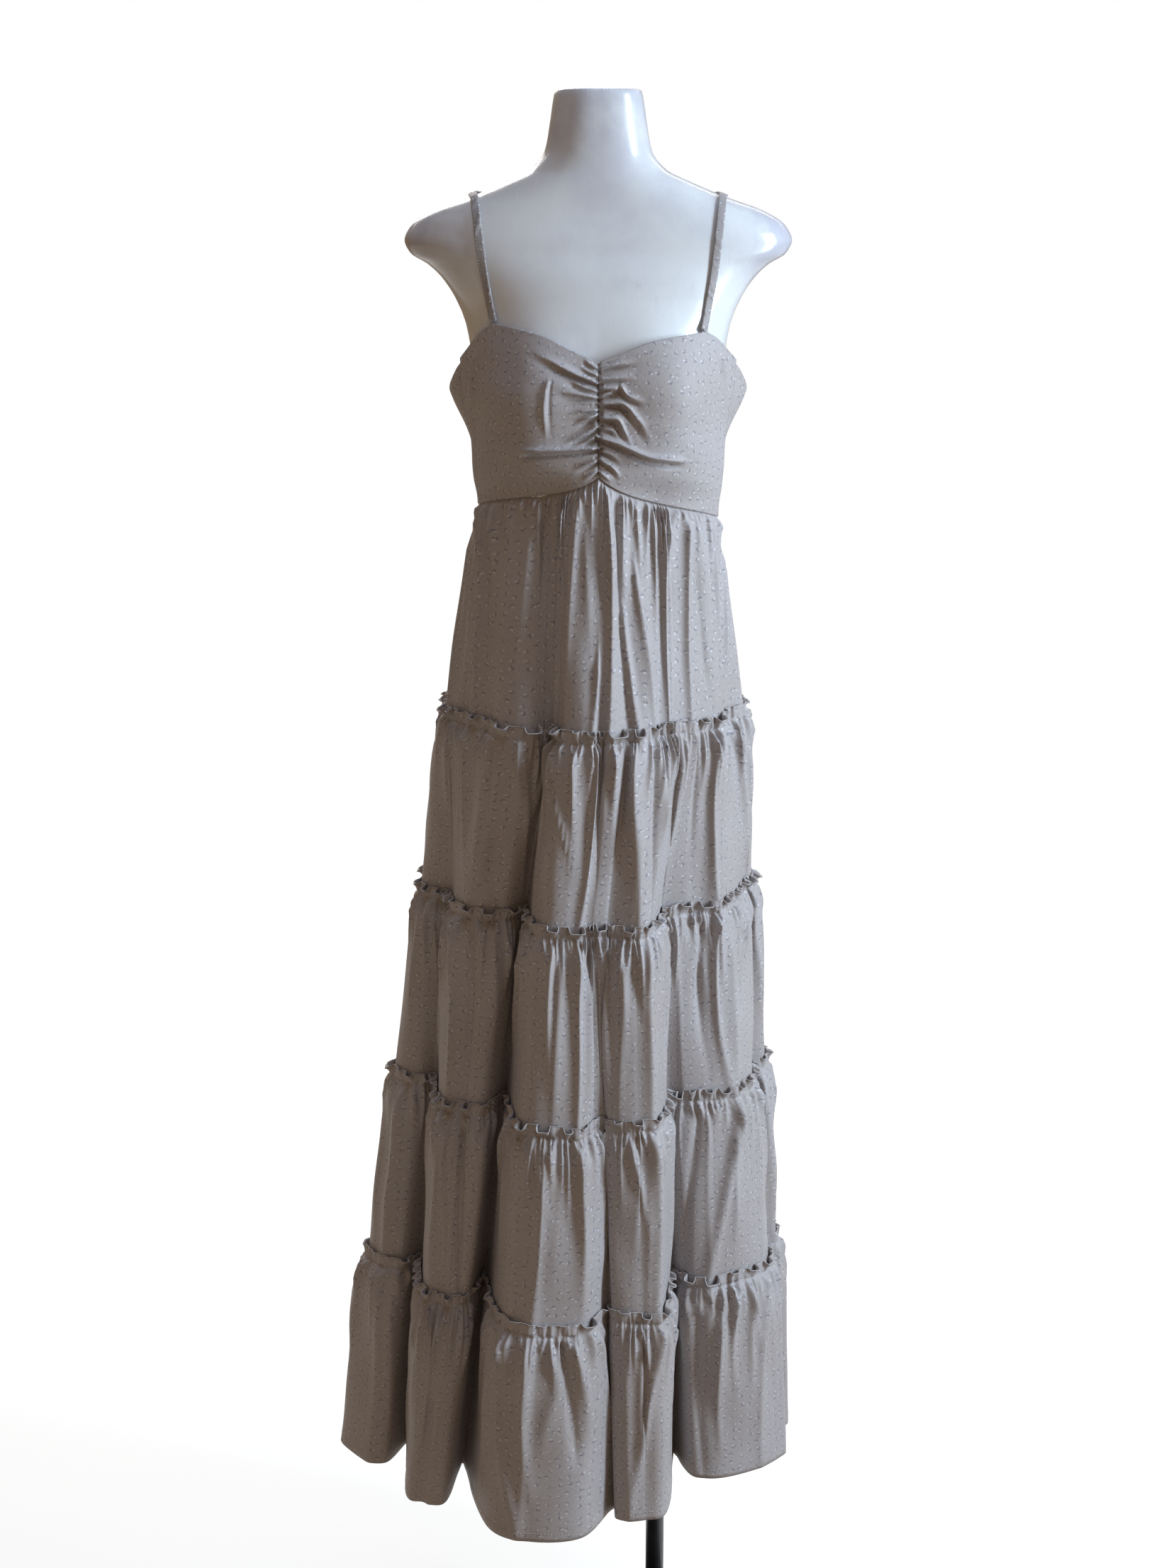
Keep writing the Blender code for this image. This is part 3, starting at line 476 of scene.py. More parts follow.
def free_room(z):
    """Free distance going outward from the plan to itself, for shares of the way round."""
    share = np.arange(ROOM_COLUMNS) / ROOM_COLUMNS
    ring = plan_at(z, share)
    normal, _, _ = plan_frame(ring)
    edge = np.roll(ring, -1, axis=0) - ring
    gap = ring[None, :, :] - ring[:, None, :]
    cross = normal[:, None, 0] * edge[None, :, 1] - normal[:, None, 1] * edge[None, :, 0]
    cross = np.where(np.abs(cross) < TINY, TINY, cross)
    along = (gap[:, :, 0] * edge[None, :, 1] - gap[:, :, 1] * edge[None, :, 0]) / cross
    part = (gap[:, :, 0] * normal[:, None, 1] - gap[:, :, 1] * normal[:, None, 0]) / cross
    hit = (along > ROOM_NEAREST) & (part >= -ROOM_LAP) & (part <= 1.0 + ROOM_LAP)
    own = np.abs(np.subtract.outer(np.arange(ROOM_COLUMNS), np.arange(ROOM_COLUMNS)))
    own = np.minimum(own, ROOM_COLUMNS - own) <= 1
    free = np.where(hit & ~own, along, 1.0).min(axis=1)
    return share, free


def calm_at(z, share):
    """1 where the cloth has room to stand out, 0 in narrow valleys."""
    table, free = free_room(z)
    calm = np.clip((free - NARROW) / WIDE, 0.0, 1.0)
    soft = (np.roll(calm, 1) + 2.0 * calm + np.roll(calm, -1)) / 4.0
    return np.interp(share, np.append(table, 1.0), np.append(soft, soft[0]))


# Folds of the cloth itself

PEAK_STEEPNESS = 1.7
PEAK_ROUNDING = 0.10


def peak(x):
    """A soft ridge with a fairly sharp crest, 1 at its middle."""
    away = np.sqrt(x * x + PEAK_ROUNDING) - math.sqrt(PEAK_ROUNDING)
    return np.exp(-PEAK_STEEPNESS * away)


def seeded(*keys):
    """A random source that gives the same numbers on each run."""
    return np.random.default_rng(np.random.SeedSequence(list(keys)))


def smooth_noise(share, keys, waves, low, high):
    """A smooth random curve round the skirt, about -1 to 1."""
    rng = seeded(*keys)
    total = np.zeros_like(share)
    for _ in range(waves):
        count = rng.integers(low, high)
        total = total + rng.normal() * np.sin(2.0 * math.pi * (count * share + rng.random()))
    return total / math.sqrt(waves)


Crease = namedtuple("Crease", "tier start middle end top bottom width height kept")

# The main creases that the photo shows, listed one by one: tier, places in hundredths of a turn
# where each starts, passes its middle and ends, depths below the seam, half its width, its height
# out of the cloth (a trough is negative), and the share of it that is left at its end
CREASES = [Crease(*row) for row in (
    (1, 91.0, 91.2, 90.5, 0.004, 0.222, 0.0040, 0.0050, 0.8),
    (1, 92.6, 93.0, 93.0, 0.004, 0.100, 0.0055, 0.0030, 0.2),
    (1, 94.6, 95.0, 95.0, 0.004, 0.150, 0.0060, 0.0034, 0.2),
    (1, 97.2, 97.7, 97.9, 0.004, 0.085, 0.0042, 0.0042, 0.1),
    (1, 98.4, 99.3, 99.9, 0.020, 0.222, 0.0080, -0.0046, 0.9),
    (1, 3.8, 1.9, 0.9, 0.010, 0.222, 0.0050, 0.0046, 0.9),
    (1, 6.6, 6.0, 5.4, 0.010, 0.190, 0.0065, 0.0030, 0.2),
    (1, 11.0, 11.4, 11.0, 0.004, 0.222, 0.0048, 0.0052, 0.8),
    (1, 11.9, 12.1, 12.7, 0.012, 0.190, 0.0036, -0.0060, 0.2),
    (1, 12.2, 12.9, 13.8, 0.100, 0.222, 0.0046, 0.0056, 0.9),
    (1, 14.0, 14.3, 14.6, 0.004, 0.070, 0.0034, 0.0036, 0.1),
    (1, 13.6, 14.8, 15.6, 0.060, 0.222, 0.0042, 0.0040, 0.8),
    (1, 19.1, 18.3, 18.6, 0.004, 0.222, 0.0046, 0.0052, 0.7),
    (1, 16.6, 16.4, 16.6, 0.004, 0.120, 0.0040, 0.0030, 0.2),
    (1, 20.8, 20.0, 19.3, 0.004, 0.065, 0.0036, 0.0034, 0.2),
    (1, 22.3, 21.9, 22.3, 0.012, 0.222, 0.0050, 0.0052, 0.8),
    (1, 23.4, 23.9, 25.4, 0.070, 0.205, 0.0046, -0.0036, 0.3),
    (1, 26.2, 26.6, 28.6, 0.012, 0.222, 0.0052, 0.0046, 0.7),
    (1, 9.4, 9.0, 8.5, 0.150, 0.222, 0.0034, 0.0040, 0.9),
    (2, 90.9, 91.9, 94.3, 0.004, 0.190, 0.0070, 0.0036, 0.3),
    (2, 94.6, 95.6, 96.9, 0.006, 0.209, 0.0080, -0.0036, 0.6),
    (2, 97.2, 98.4, 99.8, 0.006, 0.209, 0.0060, 0.0030, 0.6),
    (2, 4.9, 6.3, 8.6, 0.012, 0.150, 0.0022, 0.0026, 0.1),
    (2, 7.0, 7.3, 7.7, 0.004, 0.110, 0.0046, 0.0050, 0.1),
    (2, 9.0, 9.3, 8.8, 0.004, 0.209, 0.0048, 0.0054, 0.8),
    (2, 10.3, 10.4, 10.6, 0.004, 0.150, 0.0050, -0.0030, 0.2),
    (2, 11.4, 11.6, 11.9, 0.004, 0.125, 0.0044, 0.0046, 0.1),
    (2, 13.2, 14.2, 14.9, 0.004, 0.209, 0.0075, 0.0058, 0.9),
    (2, 15.2, 15.8, 16.3, 0.010, 0.209, 0.0040, -0.0050, 0.7),
    (2, 17.2, 16.8, 16.4, 0.004, 0.140, 0.0046, 0.0044, 0.2),
    (2, 21.1, 20.9, 20.4, 0.004, 0.130, 0.0050, 0.0046, 0.2),
    (2, 22.8, 22.8, 22.9, 0.010, 0.180, 0.0070, -0.0034, 0.3),
    (2, 24.8, 24.7, 25.5, 0.004, 0.209, 0.0050, 0.0056, 0.8),
    (2, 30.2, 31.2, 33.0, 0.004, 0.180, 0.0060, 0.0042, 0.3),
    (3, 93.2, 94.3, 93.9, 0.004, 0.216, 0.0080, 0.0048, 0.7),
    (3, 95.2, 95.6, 95.5, 0.010, 0.216, 0.0060, -0.0040, 0.6),
    (3, 96.8, 97.2, 97.6, 0.004, 0.140, 0.0060, 0.0030, 0.2),
    (3, 6.9, 6.8, 7.1, 0.004, 0.140, 0.0055, 0.0054, 0.2),
    (3, 8.6, 9.0, 9.1, 0.004, 0.216, 0.0058, 0.0060, 0.8),
    (3, 9.9, 10.4, 10.6, 0.010, 0.216, 0.0060, -0.0050, 0.7),
    (3, 12.2, 12.4, 12.2, 0.004, 0.190, 0.0075, 0.0040, 0.5),
    (3, 13.8, 13.9, 13.8, 0.004, 0.120, 0.0050, 0.0038, 0.2),
    (3, 15.2, 15.4, 15.5, 0.004, 0.216, 0.0060, 0.0048, 0.8),
    (3, 20.6, 19.0, 18.2, 0.004, 0.200, 0.0080, 0.0042, 0.4),
    (3, 25.2, 24.9, 26.2, 0.004, 0.216, 0.0050, 0.0064, 0.5),
    (3, 24.0, 23.6, 24.4, 0.010, 0.180, 0.0065, -0.0044, 0.3),
    (3, 28.6, 27.8, 27.2, 0.004, 0.130, 0.0060, 0.0042, 0.2),
    (3, 32.6, 33.4, 33.8, 0.010, 0.200, 0.0070, 0.0042, 0.4),
    (4, 85.2, 85.2, 85.0, 0.004, 0.216, 0.0080, 0.0042, 0.6),
    (4, 94.2, 94.0, 93.5, 0.004, 0.170, 0.0070, 0.0050, 0.2),
    (4, 96.0, 96.2, 96.8, 0.010, 0.216, 0.0070, -0.0050, 0.7),
    (4, 6.6, 6.9, 7.7, 0.004, 0.080, 0.0040, 0.0040, 0.2),
    (4, 7.3, 7.2, 7.0, 0.004, 0.216, 0.0100, 0.0062, 0.8),
    (4, 9.1, 9.4, 9.6, 0.004, 0.190, 0.0060, 0.0052, 0.4),
    (4, 10.6, 11.4, 10.8, 0.010, 0.150, 0.0060, 0.0036, 0.2),
    (4, 14.0, 14.5, 15.1, 0.004, 0.110, 0.0046, 0.0048, 0.2),
    (4, 15.4, 15.6, 15.5, 0.004, 0.216, 0.0070, 0.0056, 0.8),
    (4, 26.3, 25.2, 24.0, 0.004, 0.216, 0.0075, 0.0066, 0.7),
    (4, 23.6, 22.8, 22.2, 0.010, 0.216, 0.0090, -0.0044, 0.7),
    (4, 29.4, 29.6, 29.2, 0.004, 0.160, 0.0060, 0.0042, 0.3),
    (4, 33.0, 33.5, 33.5, 0.004, 0.216, 0.0090, 0.0050, 0.7),
    (5, 85.1, 85.5, 85.4, 0.004, 0.236, 0.0110, 0.0056, 0.7),
    (5, 96.0, 94.9, 94.1, 0.004, 0.190, 0.0080, 0.0054, 0.3),
    (5, 4.6, 4.5, 5.0, 0.004, 0.150, 0.0060, 0.0040, 0.2),
    (5, 6.0, 5.8, 6.8, 0.004, 0.225, 0.0070, 0.0062, 0.5),
    (5, 7.0, 6.8, 7.4, 0.004, 0.180, 0.0090, 0.0064, 0.3),
    (5, 8.0, 8.2, 8.6, 0.003, 0.060, 0.0042, 0.0050, 0.1),
    (5, 8.5, 8.9, 9.3, 0.006, 0.126, 0.0052, -0.0086, 0.6),
    (5, 9.0, 9.5, 9.8, 0.003, 0.110, 0.0060, 0.0064, 0.2),
    (5, 10.1, 10.9, 11.3, 0.004, 0.225, 0.0070, 0.0056, 0.6),
    (5, 14.4, 14.8, 15.0, 0.003, 0.060, 0.0044, 0.0052, 0.1),
    (5, 15.6, 14.7, 13.6, 0.004, 0.220, 0.0070, 0.0070, 0.4),
    (5, 22.0, 22.4, 22.2, 0.004, 0.110, 0.0050, 0.0048, 0.2),
    (5, 24.8, 24.4, 24.5, 0.004, 0.190, 0.0060, 0.0066, 0.3),
    (5, 25.8, 25.2, 25.4, 0.004, 0.120, 0.0046, 0.0054, 0.2),
    (5, 26.4, 26.6, 27.0, 0.003, 0.080, 0.0040, 0.0050, 0.2),
    (5, 28.0, 26.9, 26.8, 0.004, 0.225, 0.0090, 0.0062, 0.5),
    (5, 23.4, 23.3, 23.6, 0.030, 0.225, 0.0100, -0.0048, 0.6),
)]
CREASE_GAIN = 1.25
CREASE_LEAD = 0.004
CREASE_ONSET = 0.014
CREASE_END = 0.025
CREASE_FADES = (0.35, 0.65)
CREASE_WIDENS = (0.70, 0.45)


def turn_gap(share, centre):
    """Share of a turn from each row's centre to each place, -0.5 to 0.5."""
    return np.mod(share[None, :] - centre[:, None] + 0.5, 1.0) - 0.5


def crease_field(tier, share, depth, length):
    """Height of the listed creases, for rows of depth below the seam."""
    total = np.zeros((len(depth), len(share)))
    for row in CREASES:
        if row.tier != tier:
            continue
        along = np.clip((depth - row.top) / (row.bottom - row.top), 0.0, 1.0)
        start, middle, end = [place / 100.0 for place in (row.start, row.middle, row.end)]
        start = middle + (start - middle + 0.5) % 1.0 - 0.5
        end = middle + (end - middle + 0.5) % 1.0 - 0.5
        bow = 2.0 * middle - 0.5 * (start + end)
        centre = (start * (1.0 - along) ** 2 + 2.0 * bow * along * (1.0 - along)
                  + end * along ** 2)
        begun = ease((depth - row.top + CREASE_LEAD) / CREASE_ONSET)
        kept = 1.0 - (1.0 - row.kept) * ease((along - CREASE_FADES[0]) / CREASE_FADES[1])
        below = row.kept * (1.0 - ease((depth - row.bottom) / CREASE_END))
        kept = np.where(depth > row.bottom, below, kept)
        width = row.width * (CREASE_WIDENS[0] + CREASE_WIDENS[1] * along)[:, None]
        height = row.height * (begun * kept)[:, None]
        total = total + height * peak(turn_gap(share, centre) * length / width)
    return total


def uneven_places(rng, length, spacing, jitter):
    """Places round the skirt, as shares of a turn, about evenly spaced."""
    count = int(length / spacing)
    return (np.arange(count) + rng.uniform(-jitter, jitter, count)) / count


# Spacing and height of the gathers, in the top tier and in the others
GATHERS_TOP = (0.0066, 0.0045)
GATHERS_BELOW = (0.0062, 0.0060)

# Least and most of a gather's height (a share), length and half width at the seam and below it
GATHER_HEIGHTS = (0.35, 1.25)
GATHER_LENGTHS = (0.016, 0.100)
GATHER_NARROW = (0.0011, 0.0019)
GATHER_BROAD = (0.0028, 0.0056)
GATHER_JITTER = 0.42
GATHER_SWAY = 0.005
GATHER_SWAY_END = 1.3
GATHER_COLUMNS = 1.25
GATHER_AT_SEAM = 0.42
GATHER_RISE = 0.004
GATHER_FADES = (0.20, 0.90)


def gathers(tier, share, depth, length, spacing, height):
    """Fine gathers that spring from the seam, uneven in depth, spacing and length."""
    rng = seeded(tier, 501)
    shortest, longest = [math.log(reach) for reach in GATHER_LENGTHS]
    total = np.zeros((len(depth), len(share)))
    for place in uneven_places(rng, length, spacing, GATHER_JITTER):
        high = height * rng.uniform(*GATHER_HEIGHTS)
        reach = math.exp(rng.uniform(shortest, longest))
        finest = GATHER_COLUMNS * length * np.interp(place % 1.0, share, np.gradient(share))
        narrow = max(rng.uniform(*GATHER_NARROW), finest)
        broad = max(rng.uniform(*GATHER_BROAD), finest)
        sway = rng.normal() * GATHER_SWAY
        along = depth / reach
        fall = GATHER_AT_SEAM + (1.0 - GATHER_AT_SEAM) * ease(depth / GATHER_RISE)
        fall = fall * (1.0 - ease((along - GATHER_FADES[0]) / GATHER_FADES[1]))
        if not (fall > 0.0).any():
            continue
        centre = place + sway / length * np.minimum(along, GATHER_SWAY_END)
        width = narrow + (broad - narrow) * ease(along)
        across = turn_gap(share, centre) * length
        total = total + high * fall[:, None] * peak(across / width[:, None])
    return total


# The long folds: spacing and height, then the least and most of each one's height (a share),
# start below the seam, length (a share of the tier) and half width
FOLD_SPACING = 0.036
FOLD_HEIGHT = 0.0050
FOLD_HEIGHTS = (0.25, 1.15)
FOLD_STARTS = (0.004, 0.030)
FOLD_LENGTHS = (0.45, 1.25)
FOLD_WIDTHS = (0.0055, 0.0115)
FOLD_JITTER = 0.45
FOLD_SWAY = 0.010
FOLD_SWAY_END = 1.4
FOLD_RISE = 0.030
FOLD_FADES = (0.55, 0.65)
FOLD_WIDENS = (0.8, 0.5)


def long_folds(tier, share, depth, length, drop):
    """Soft long folds between the gathers, on every side."""
    rng = seeded(tier, 777)
    total = np.zeros((len(depth), len(share)))
    for place in uneven_places(rng, length, FOLD_SPACING, FOLD_JITTER):
        high = FOLD_HEIGHT * rng.uniform(*FOLD_HEIGHTS)
        start = rng.uniform(*FOLD_STARTS)
        reach = drop * rng.uniform(*FOLD_LENGTHS)
        width = rng.uniform(*FOLD_WIDTHS)
        sway = rng.normal() * FOLD_SWAY
        along = np.clip((depth - start) / (reach - start), 0.0, FOLD_SWAY_END)
        rise = ease((depth - start) / FOLD_RISE)
        rise = rise * (1.0 - ease((along - FOLD_FADES[0]) / FOLD_FADES[1]))
        centre = place + sway / length * along
        width = width * (FOLD_WIDENS[0] + FOLD_WIDENS[1] * along)
        across = turn_gap(share, centre) * length
        total = total + high * rise[:, None] * peak(across / width[:, None])
    return total


DRIFT = 0.00055
DRIFT_CURVES = 4
DRIFT_START = 0.02
SEAM_SWAY = 0.0011
HOLLOW_SHARE = 0.55
LEAST_CALM = 0.25
LOWEST_TOP = -0.0016
LOWEST_BELOW = -0.0050


def drift(tier, share, depth, drop):
    """Slow unevenness of hanging cloth."""
    total = np.zeros((len(depth), len(share)))
    for k in range(DRIFT_CURVES):
        curve = smooth_noise(share, (tier, 900 + k), 5, 6, 34)
        wave = np.sin(math.pi * (k + 1) * depth / drop + k)
        total = total + curve[None, :] * wave[:, None]
    return DRIFT * total


def kept_within(lift, hollow):
    """Height held back where the plan is too hollow to take it."""
    limit = HOLLOW_SHARE / np.maximum(hollow, 1.0)
    return lift / np.sqrt(1.0 + (lift / limit) ** 2)


def own_lift(tier, share, depth, drop, length, calm):
    """Everything that stands out of a tier's plain form."""
    top = tier == 1
    lift = gathers(tier, share, depth, length, *(GATHERS_TOP if top else GATHERS_BELOW))
    lift = lift + long_folds(tier, share, depth, length, drop)
    lift = lift + CREASE_GAIN * crease_field(tier, share, depth, length)
    lift = lift + drift(tier, share, depth, drop) * ease(depth / DRIFT_START)[:, None]
    lift = lift * (LEAST_CALM + (1.0 - LEAST_CALM) * calm)
    return np.maximum(lift, LOWEST_TOP if top else LOWEST_BELOW)


def bottom_lift(tier, share):
    """How far a tier stands out where the next one is sewn on."""
    rows = TIERS[tier - 1]
    top = WAIST_SIDE if rows.top is None else rows.top
    drop = top - rows.bottom
    _, _, length = plan_frame(plan_at(rows.bottom, share))
    calm = calm_at(rows.bottom, share)
    return own_lift(tier, share, np.array([drop]), drop, length, calm[None, :])[0]


def seam_sway(number, share):
    """Small ups and downs of a sewn seam."""
    return SEAM_SWAY * smooth_noise(share, (number, 333), 6, 5, 26)


# Mesh building

def grid_places(rows, columns):
    """Row and column numbers of every quad of a grid."""
    row, column = np.meshgrid(np.arange(rows), np.arange(columns), indexing="ij")
    return row.ravel(), column.ravel()


def corners(row, column, width, closed=True):
    """Numbers of a quad's four corners, round it, in a grid that is width columns wide."""
    following = (column + 1) % width if closed else column + 1
    first = row * width + column
    second = row * width + following
    return first, second, second + width, first + width


def linked(name, data):
    """A new object in the scene."""
    item = bpy.data.objects.new(name, data)
    bpy.context.scene.collection.objects.link(item)
    return item


def mesh_piece(name, points, faces, material, texture=None):
    """A smooth object from an array of points and a list of faces, facing out."""
    mesh = bpy.data.meshes.new(name)
    mesh.from_pydata(points.tolist(), [], faces)
    if texture is not None:
        layer = mesh.uv_layers.new(name="cloth")
        layer.uv.foreach_set("vector", np.asarray(texture, np.float32).ravel())
    work = bmesh.new()
    work.from_mesh(mesh)
    if work.calc_volume(signed=True) < 0.0:
        bmesh.ops.reverse_faces(work, faces=work.faces)
        work.to_mesh(mesh)
    work.free()
    mesh.polygons.foreach_set("use_smooth", [True] * len(mesh.polygons))
    mesh.materials.append(material)
    return linked(name, mesh)


def cloth_shell(name, outer, gauge, texture, material, closed):
    """A thin closed shell under a grid of points, with its cloth map in metres.

    outer is rows by columns; texture has one more column where the grid is closed.
    """
    rows, columns, _ = outer.shape
    if closed:
        along = np.roll(outer, -1, axis=1) - np.roll(outer, 1, axis=1)
    else:
        along = np.gradient(outer, axis=1)
    down = np.gradient(outer, axis=0)
    normal = np.cross(down, along)
    size = np.linalg.norm(normal, axis=2, keepdims=True)
    normal = normal / np.maximum(size, 1e-12)
    centre = outer.mean(axis=(0, 1))
    flat = (outer - centre) * np.array([1.0, 1.0, 0.0])
    if np.sum(normal * flat) < 0.0:
        normal = -normal
    inner = outer - normal * gauge
    points = np.concatenate([outer.reshape(-1, 3), inner.reshape(-1, 3)])
    count = rows * columns
    last = columns if closed else columns - 1
    map_columns = texture.shape[1]
    row, column = grid_places(rows - 1, last)
    a, b, c, d = corners(row, column, columns)
    faces = [np.stack([a, d, c, b], axis=1), np.stack([a, b, c, d], axis=1) + count]
    a, b, c, d = corners(row, column, map_columns, False)
    places = [np.stack([a, d, c, b], axis=1), np.stack([a, b, c, d], axis=1)]
    rims = []
    for edge, turned_over in ((0, False), (rows - 1, True)):
        a, b, _, _ = corners(edge, np.arange(last), columns)
        map_a, map_b, _, _ = corners(edge, np.arange(last), map_columns, False)
        rims.append((a, b, map_a, map_b, turned_over))
    if not closed:
        for edge, turned_over in ((0, True), (columns - 1, False)):
            a, _, _, b = corners(np.arange(rows - 1), edge, columns)
            map_a, _, _, map_b = corners(np.arange(rows - 1), edge, map_columns, False)
            rims.append((a, b, map_a, map_b, turned_over))
    for a, b, map_a, map_b, turned_over in rims:
        way = -1 if turned_over else 1
        faces.append(np.stack([a, b, b + count, a + count], axis=1)[:, ::way])
        places.append(np.stack([map_a, map_b, map_b, map_a], axis=1)[:, ::way])
    faces = np.concatenate(faces).tolist()
    texture = texture.reshape(-1, 2)[np.concatenate(places).ravel()]
    return mesh_piece(name, points, faces, material, texture)


def closed_rod(name, path, radius, sides, material):
    """A thin round rod along a closed path."""
    along = np.roll(path, -1, axis=0) - np.roll(path, 1, axis=0)
    along = along / np.maximum(np.linalg.norm(along, axis=1, keepdims=True), 1e-12)
    helper = np.zeros_like(along)
    upright = np.abs(along[:, 2]) > 0.8
    helper[:, 2] = ~upright
    helper[:, 0] = upright
    side = np.cross(along, helper)
    side = side / np.linalg.norm(side, axis=1, keepdims=True)
    other = np.cross(along, side)
    turn = (2.0 * math.pi * np.arange(sides) / sides)[None, :, None]
    ring = path[:, None, :] + radius * (np.cos(turn) * side[:, None, :]
                                        + np.sin(turn) * other[:, None, :])
    i, k = grid_places(len(path), sides)
    j = (i + 1) % len(path)
    m = (k + 1) % sides
    quads = np.stack([i * sides + k, i * sides + m, j * sides + m, j * sides + k], axis=1)
    return mesh_piece(name, ring.reshape(-1, 3), quads.tolist(), material)


STITCH_SIDES = 4
STITCH_SHAPE = ((0.0, 0.4), (0.5, 1.0), (1.0, 0.4))
STITCH_STEP = 0.0005


def stitches(name, path, outward, length, gap, radius, material):
    """Separate short stitches along a line, each a small bar with pointed ends."""
    step = np.linalg.norm(np.diff(path, axis=0), axis=1)
    place = np.append(0.0, np.cumsum(step))
    starts = np.arange(gap / 2.0, place[-1] - length, length + gap)

    def at(distance, table):
        return np.stack([np.interp(distance, place, table[:, k]) for k in range(3)], axis=1)

    blocks = []
    for share, thick in STITCH_SHAPE:
        distance = starts + length * share
        middle = at(distance, path)
        out = at(distance, outward)
        out = out / np.linalg.norm(out, axis=1, keepdims=True)
        ahead = at(np.minimum(distance + STITCH_STEP, place[-1]), path)
        ahead = ahead - at(np.maximum(distance - STITCH_STEP, 0.0), path)
        ahead = ahead / np.linalg.norm(ahead, axis=1, keepdims=True)
        side = np.cross(ahead, out)
        for k in range(STITCH_SIDES):
            turn = 2.0 * math.pi * (k + 0.5) / STITCH_SIDES
            blocks.append(middle + radius * thick * (math.cos(turn) * out
                                                     + math.sin(turn) * side))
    points = np.stack(blocks, axis=1)
    quads = np.stack(corners(*grid_places(len(STITCH_SHAPE) - 1, STITCH_SIDES), STITCH_SIDES),
                     axis=1)
    ends = np.arange(STITCH_SIDES)
    quads = np.concatenate([quads, ends[None, ::-1],
                            ends[None, :] + (len(STITCH_SHAPE) - 1) * STITCH_SIDES])
    first = (np.arange(len(points)) * points.shape[1])[:, None, None]
    faces = (quads[None, :, :] + first).reshape(-1, 4)
    return mesh_piece(name, points.reshape(-1, 3), faces.tolist(), material)


# Materials

def feed(tree, item, sources):
    """Give a node's sockets what they take: another socket, a number or a colour."""
    for name, source in sources.items():
        socket = item.inputs[name]
        if isinstance(source, bpy.types.NodeSocket):
            tree.links.new(source, socket)
        elif isinstance(source, tuple) and len(socket.default_value) > len(source):
            socket.default_value = (*source, 1.0)
        else:
            socket.default_value = source


def new_material(name):
    """An empty principled material and its tools."""
    material = bpy.data.materials.new(name)
    material.use_nodes = True
    tree = material.node_tree
    return material, tree, tree.nodes["Principled BSDF"]


def node(tree, kind, sources=None, **settings):
    """A node with its settings, and what its sockets take."""
    item = tree.nodes.new(kind)
    for key, value in settings.items():
        setattr(item, key, value)
    feed(tree, item, sources or {})
    return item


def value_of(tree, operation, *sources):
    """The output of a math node fed by sockets or numbers."""
    return node(tree, "ShaderNodeMath", dict(enumerate(sources)), operation=operation).outputs[0]


def soft_step(tree, source, low, high, out_low=0.0, out_high=1.0):
    """A smooth step from one value to another."""
    sources = {"Value": source, "From Min": low, "From Max": high,
               "To Min": out_low, "To Max": out_high}
    step = node(tree, "ShaderNodeMapRange", sources, interpolation_type="SMOOTHSTEP")
    return step.outputs["Result"]


def mixed(tree, factor, first, second):
    """A colour between two, each a socket or a tuple."""
    sources = {"Factor": factor, 6: first, 7: second}
    return node(tree, "ShaderNodeMix", sources, data_type="RGBA").outputs[2]


def noise(tree, vector, scale, detail=2.0, roughness=0.5):
    """A noise texture's value."""
    sources = {"Vector": vector, "Scale": scale, "Detail": detail, "Roughness": roughness}
    return node(tree, "ShaderNodeTexNoise", sources).outputs["Fac"]


def scaled(tree, vector, factor):
    """A vector or colour times a number."""
    sources = {0: vector, "Scale": factor}
    return node(tree, "ShaderNodeVectorMath", sources, operation="SCALE").outputs["Vector"]


def relief(tree, shader, height, strength, distance):
    """Low relief of the surface from a height."""
    bump = node(tree, "ShaderNodeBump",
                {"Height": height, "Strength": strength, "Distance": distance})
    feed(tree, shader, {"Normal": bump.outputs["Normal"]})


def place_of(tree):
    """Place on the object, in metres."""
    return node(tree, "ShaderNodeTexCoord").outputs["Object"]


STROKE_EDGE = (1.80, 0.30)


def stroke(tree, x, y, centre_x, centre_y, bend, half_long, half_thick):
    """Mask of a small curved stroke of the print, in millimetres."""
    across = value_of(tree, "SUBTRACT", x, centre_x)
    bow = value_of(tree, "MULTIPLY", value_of(tree, "MULTIPLY", across, across), bend)
    up = value_of(tree, "SUBTRACT", value_of(tree, "SUBTRACT", y, centre_y), bow)
    squares = []
    for offset, half in ((across, half_long), (up, half_thick)):
        share = value_of(tree, "ABSOLUTE", value_of(tree, "DIVIDE", offset, half))
        squares.append(value_of(tree, "POWER", share, 2.0))
    return soft_step(tree, value_of(tree, "ADD", *squares), *STROKE_EDGE)


BASE_COLOUR = (0.370, 0.336, 0.326)
BASE_WARM = (0.338, 0.296, 0.278)
BASE_COOL = (0.390, 0.364, 0.366)
INK = (0.150, 0.140, 0.168)
CHALK = (0.57, 0.55, 0.56)
MOTIF_SPACING = 0.0103

# The print's strokes: centre, bend, and half of the length and of the thickness, in millimetres
DARK_STROKE = (-0.35, 0.95, 0.26, 1.65, 0.66)
DARK_STEM = (-1.55, -0.60, -0.60, 0.95, 0.70)
LIGHT_STROKE = (1.00, -0.70, -0.30, 1.55, 0.78)


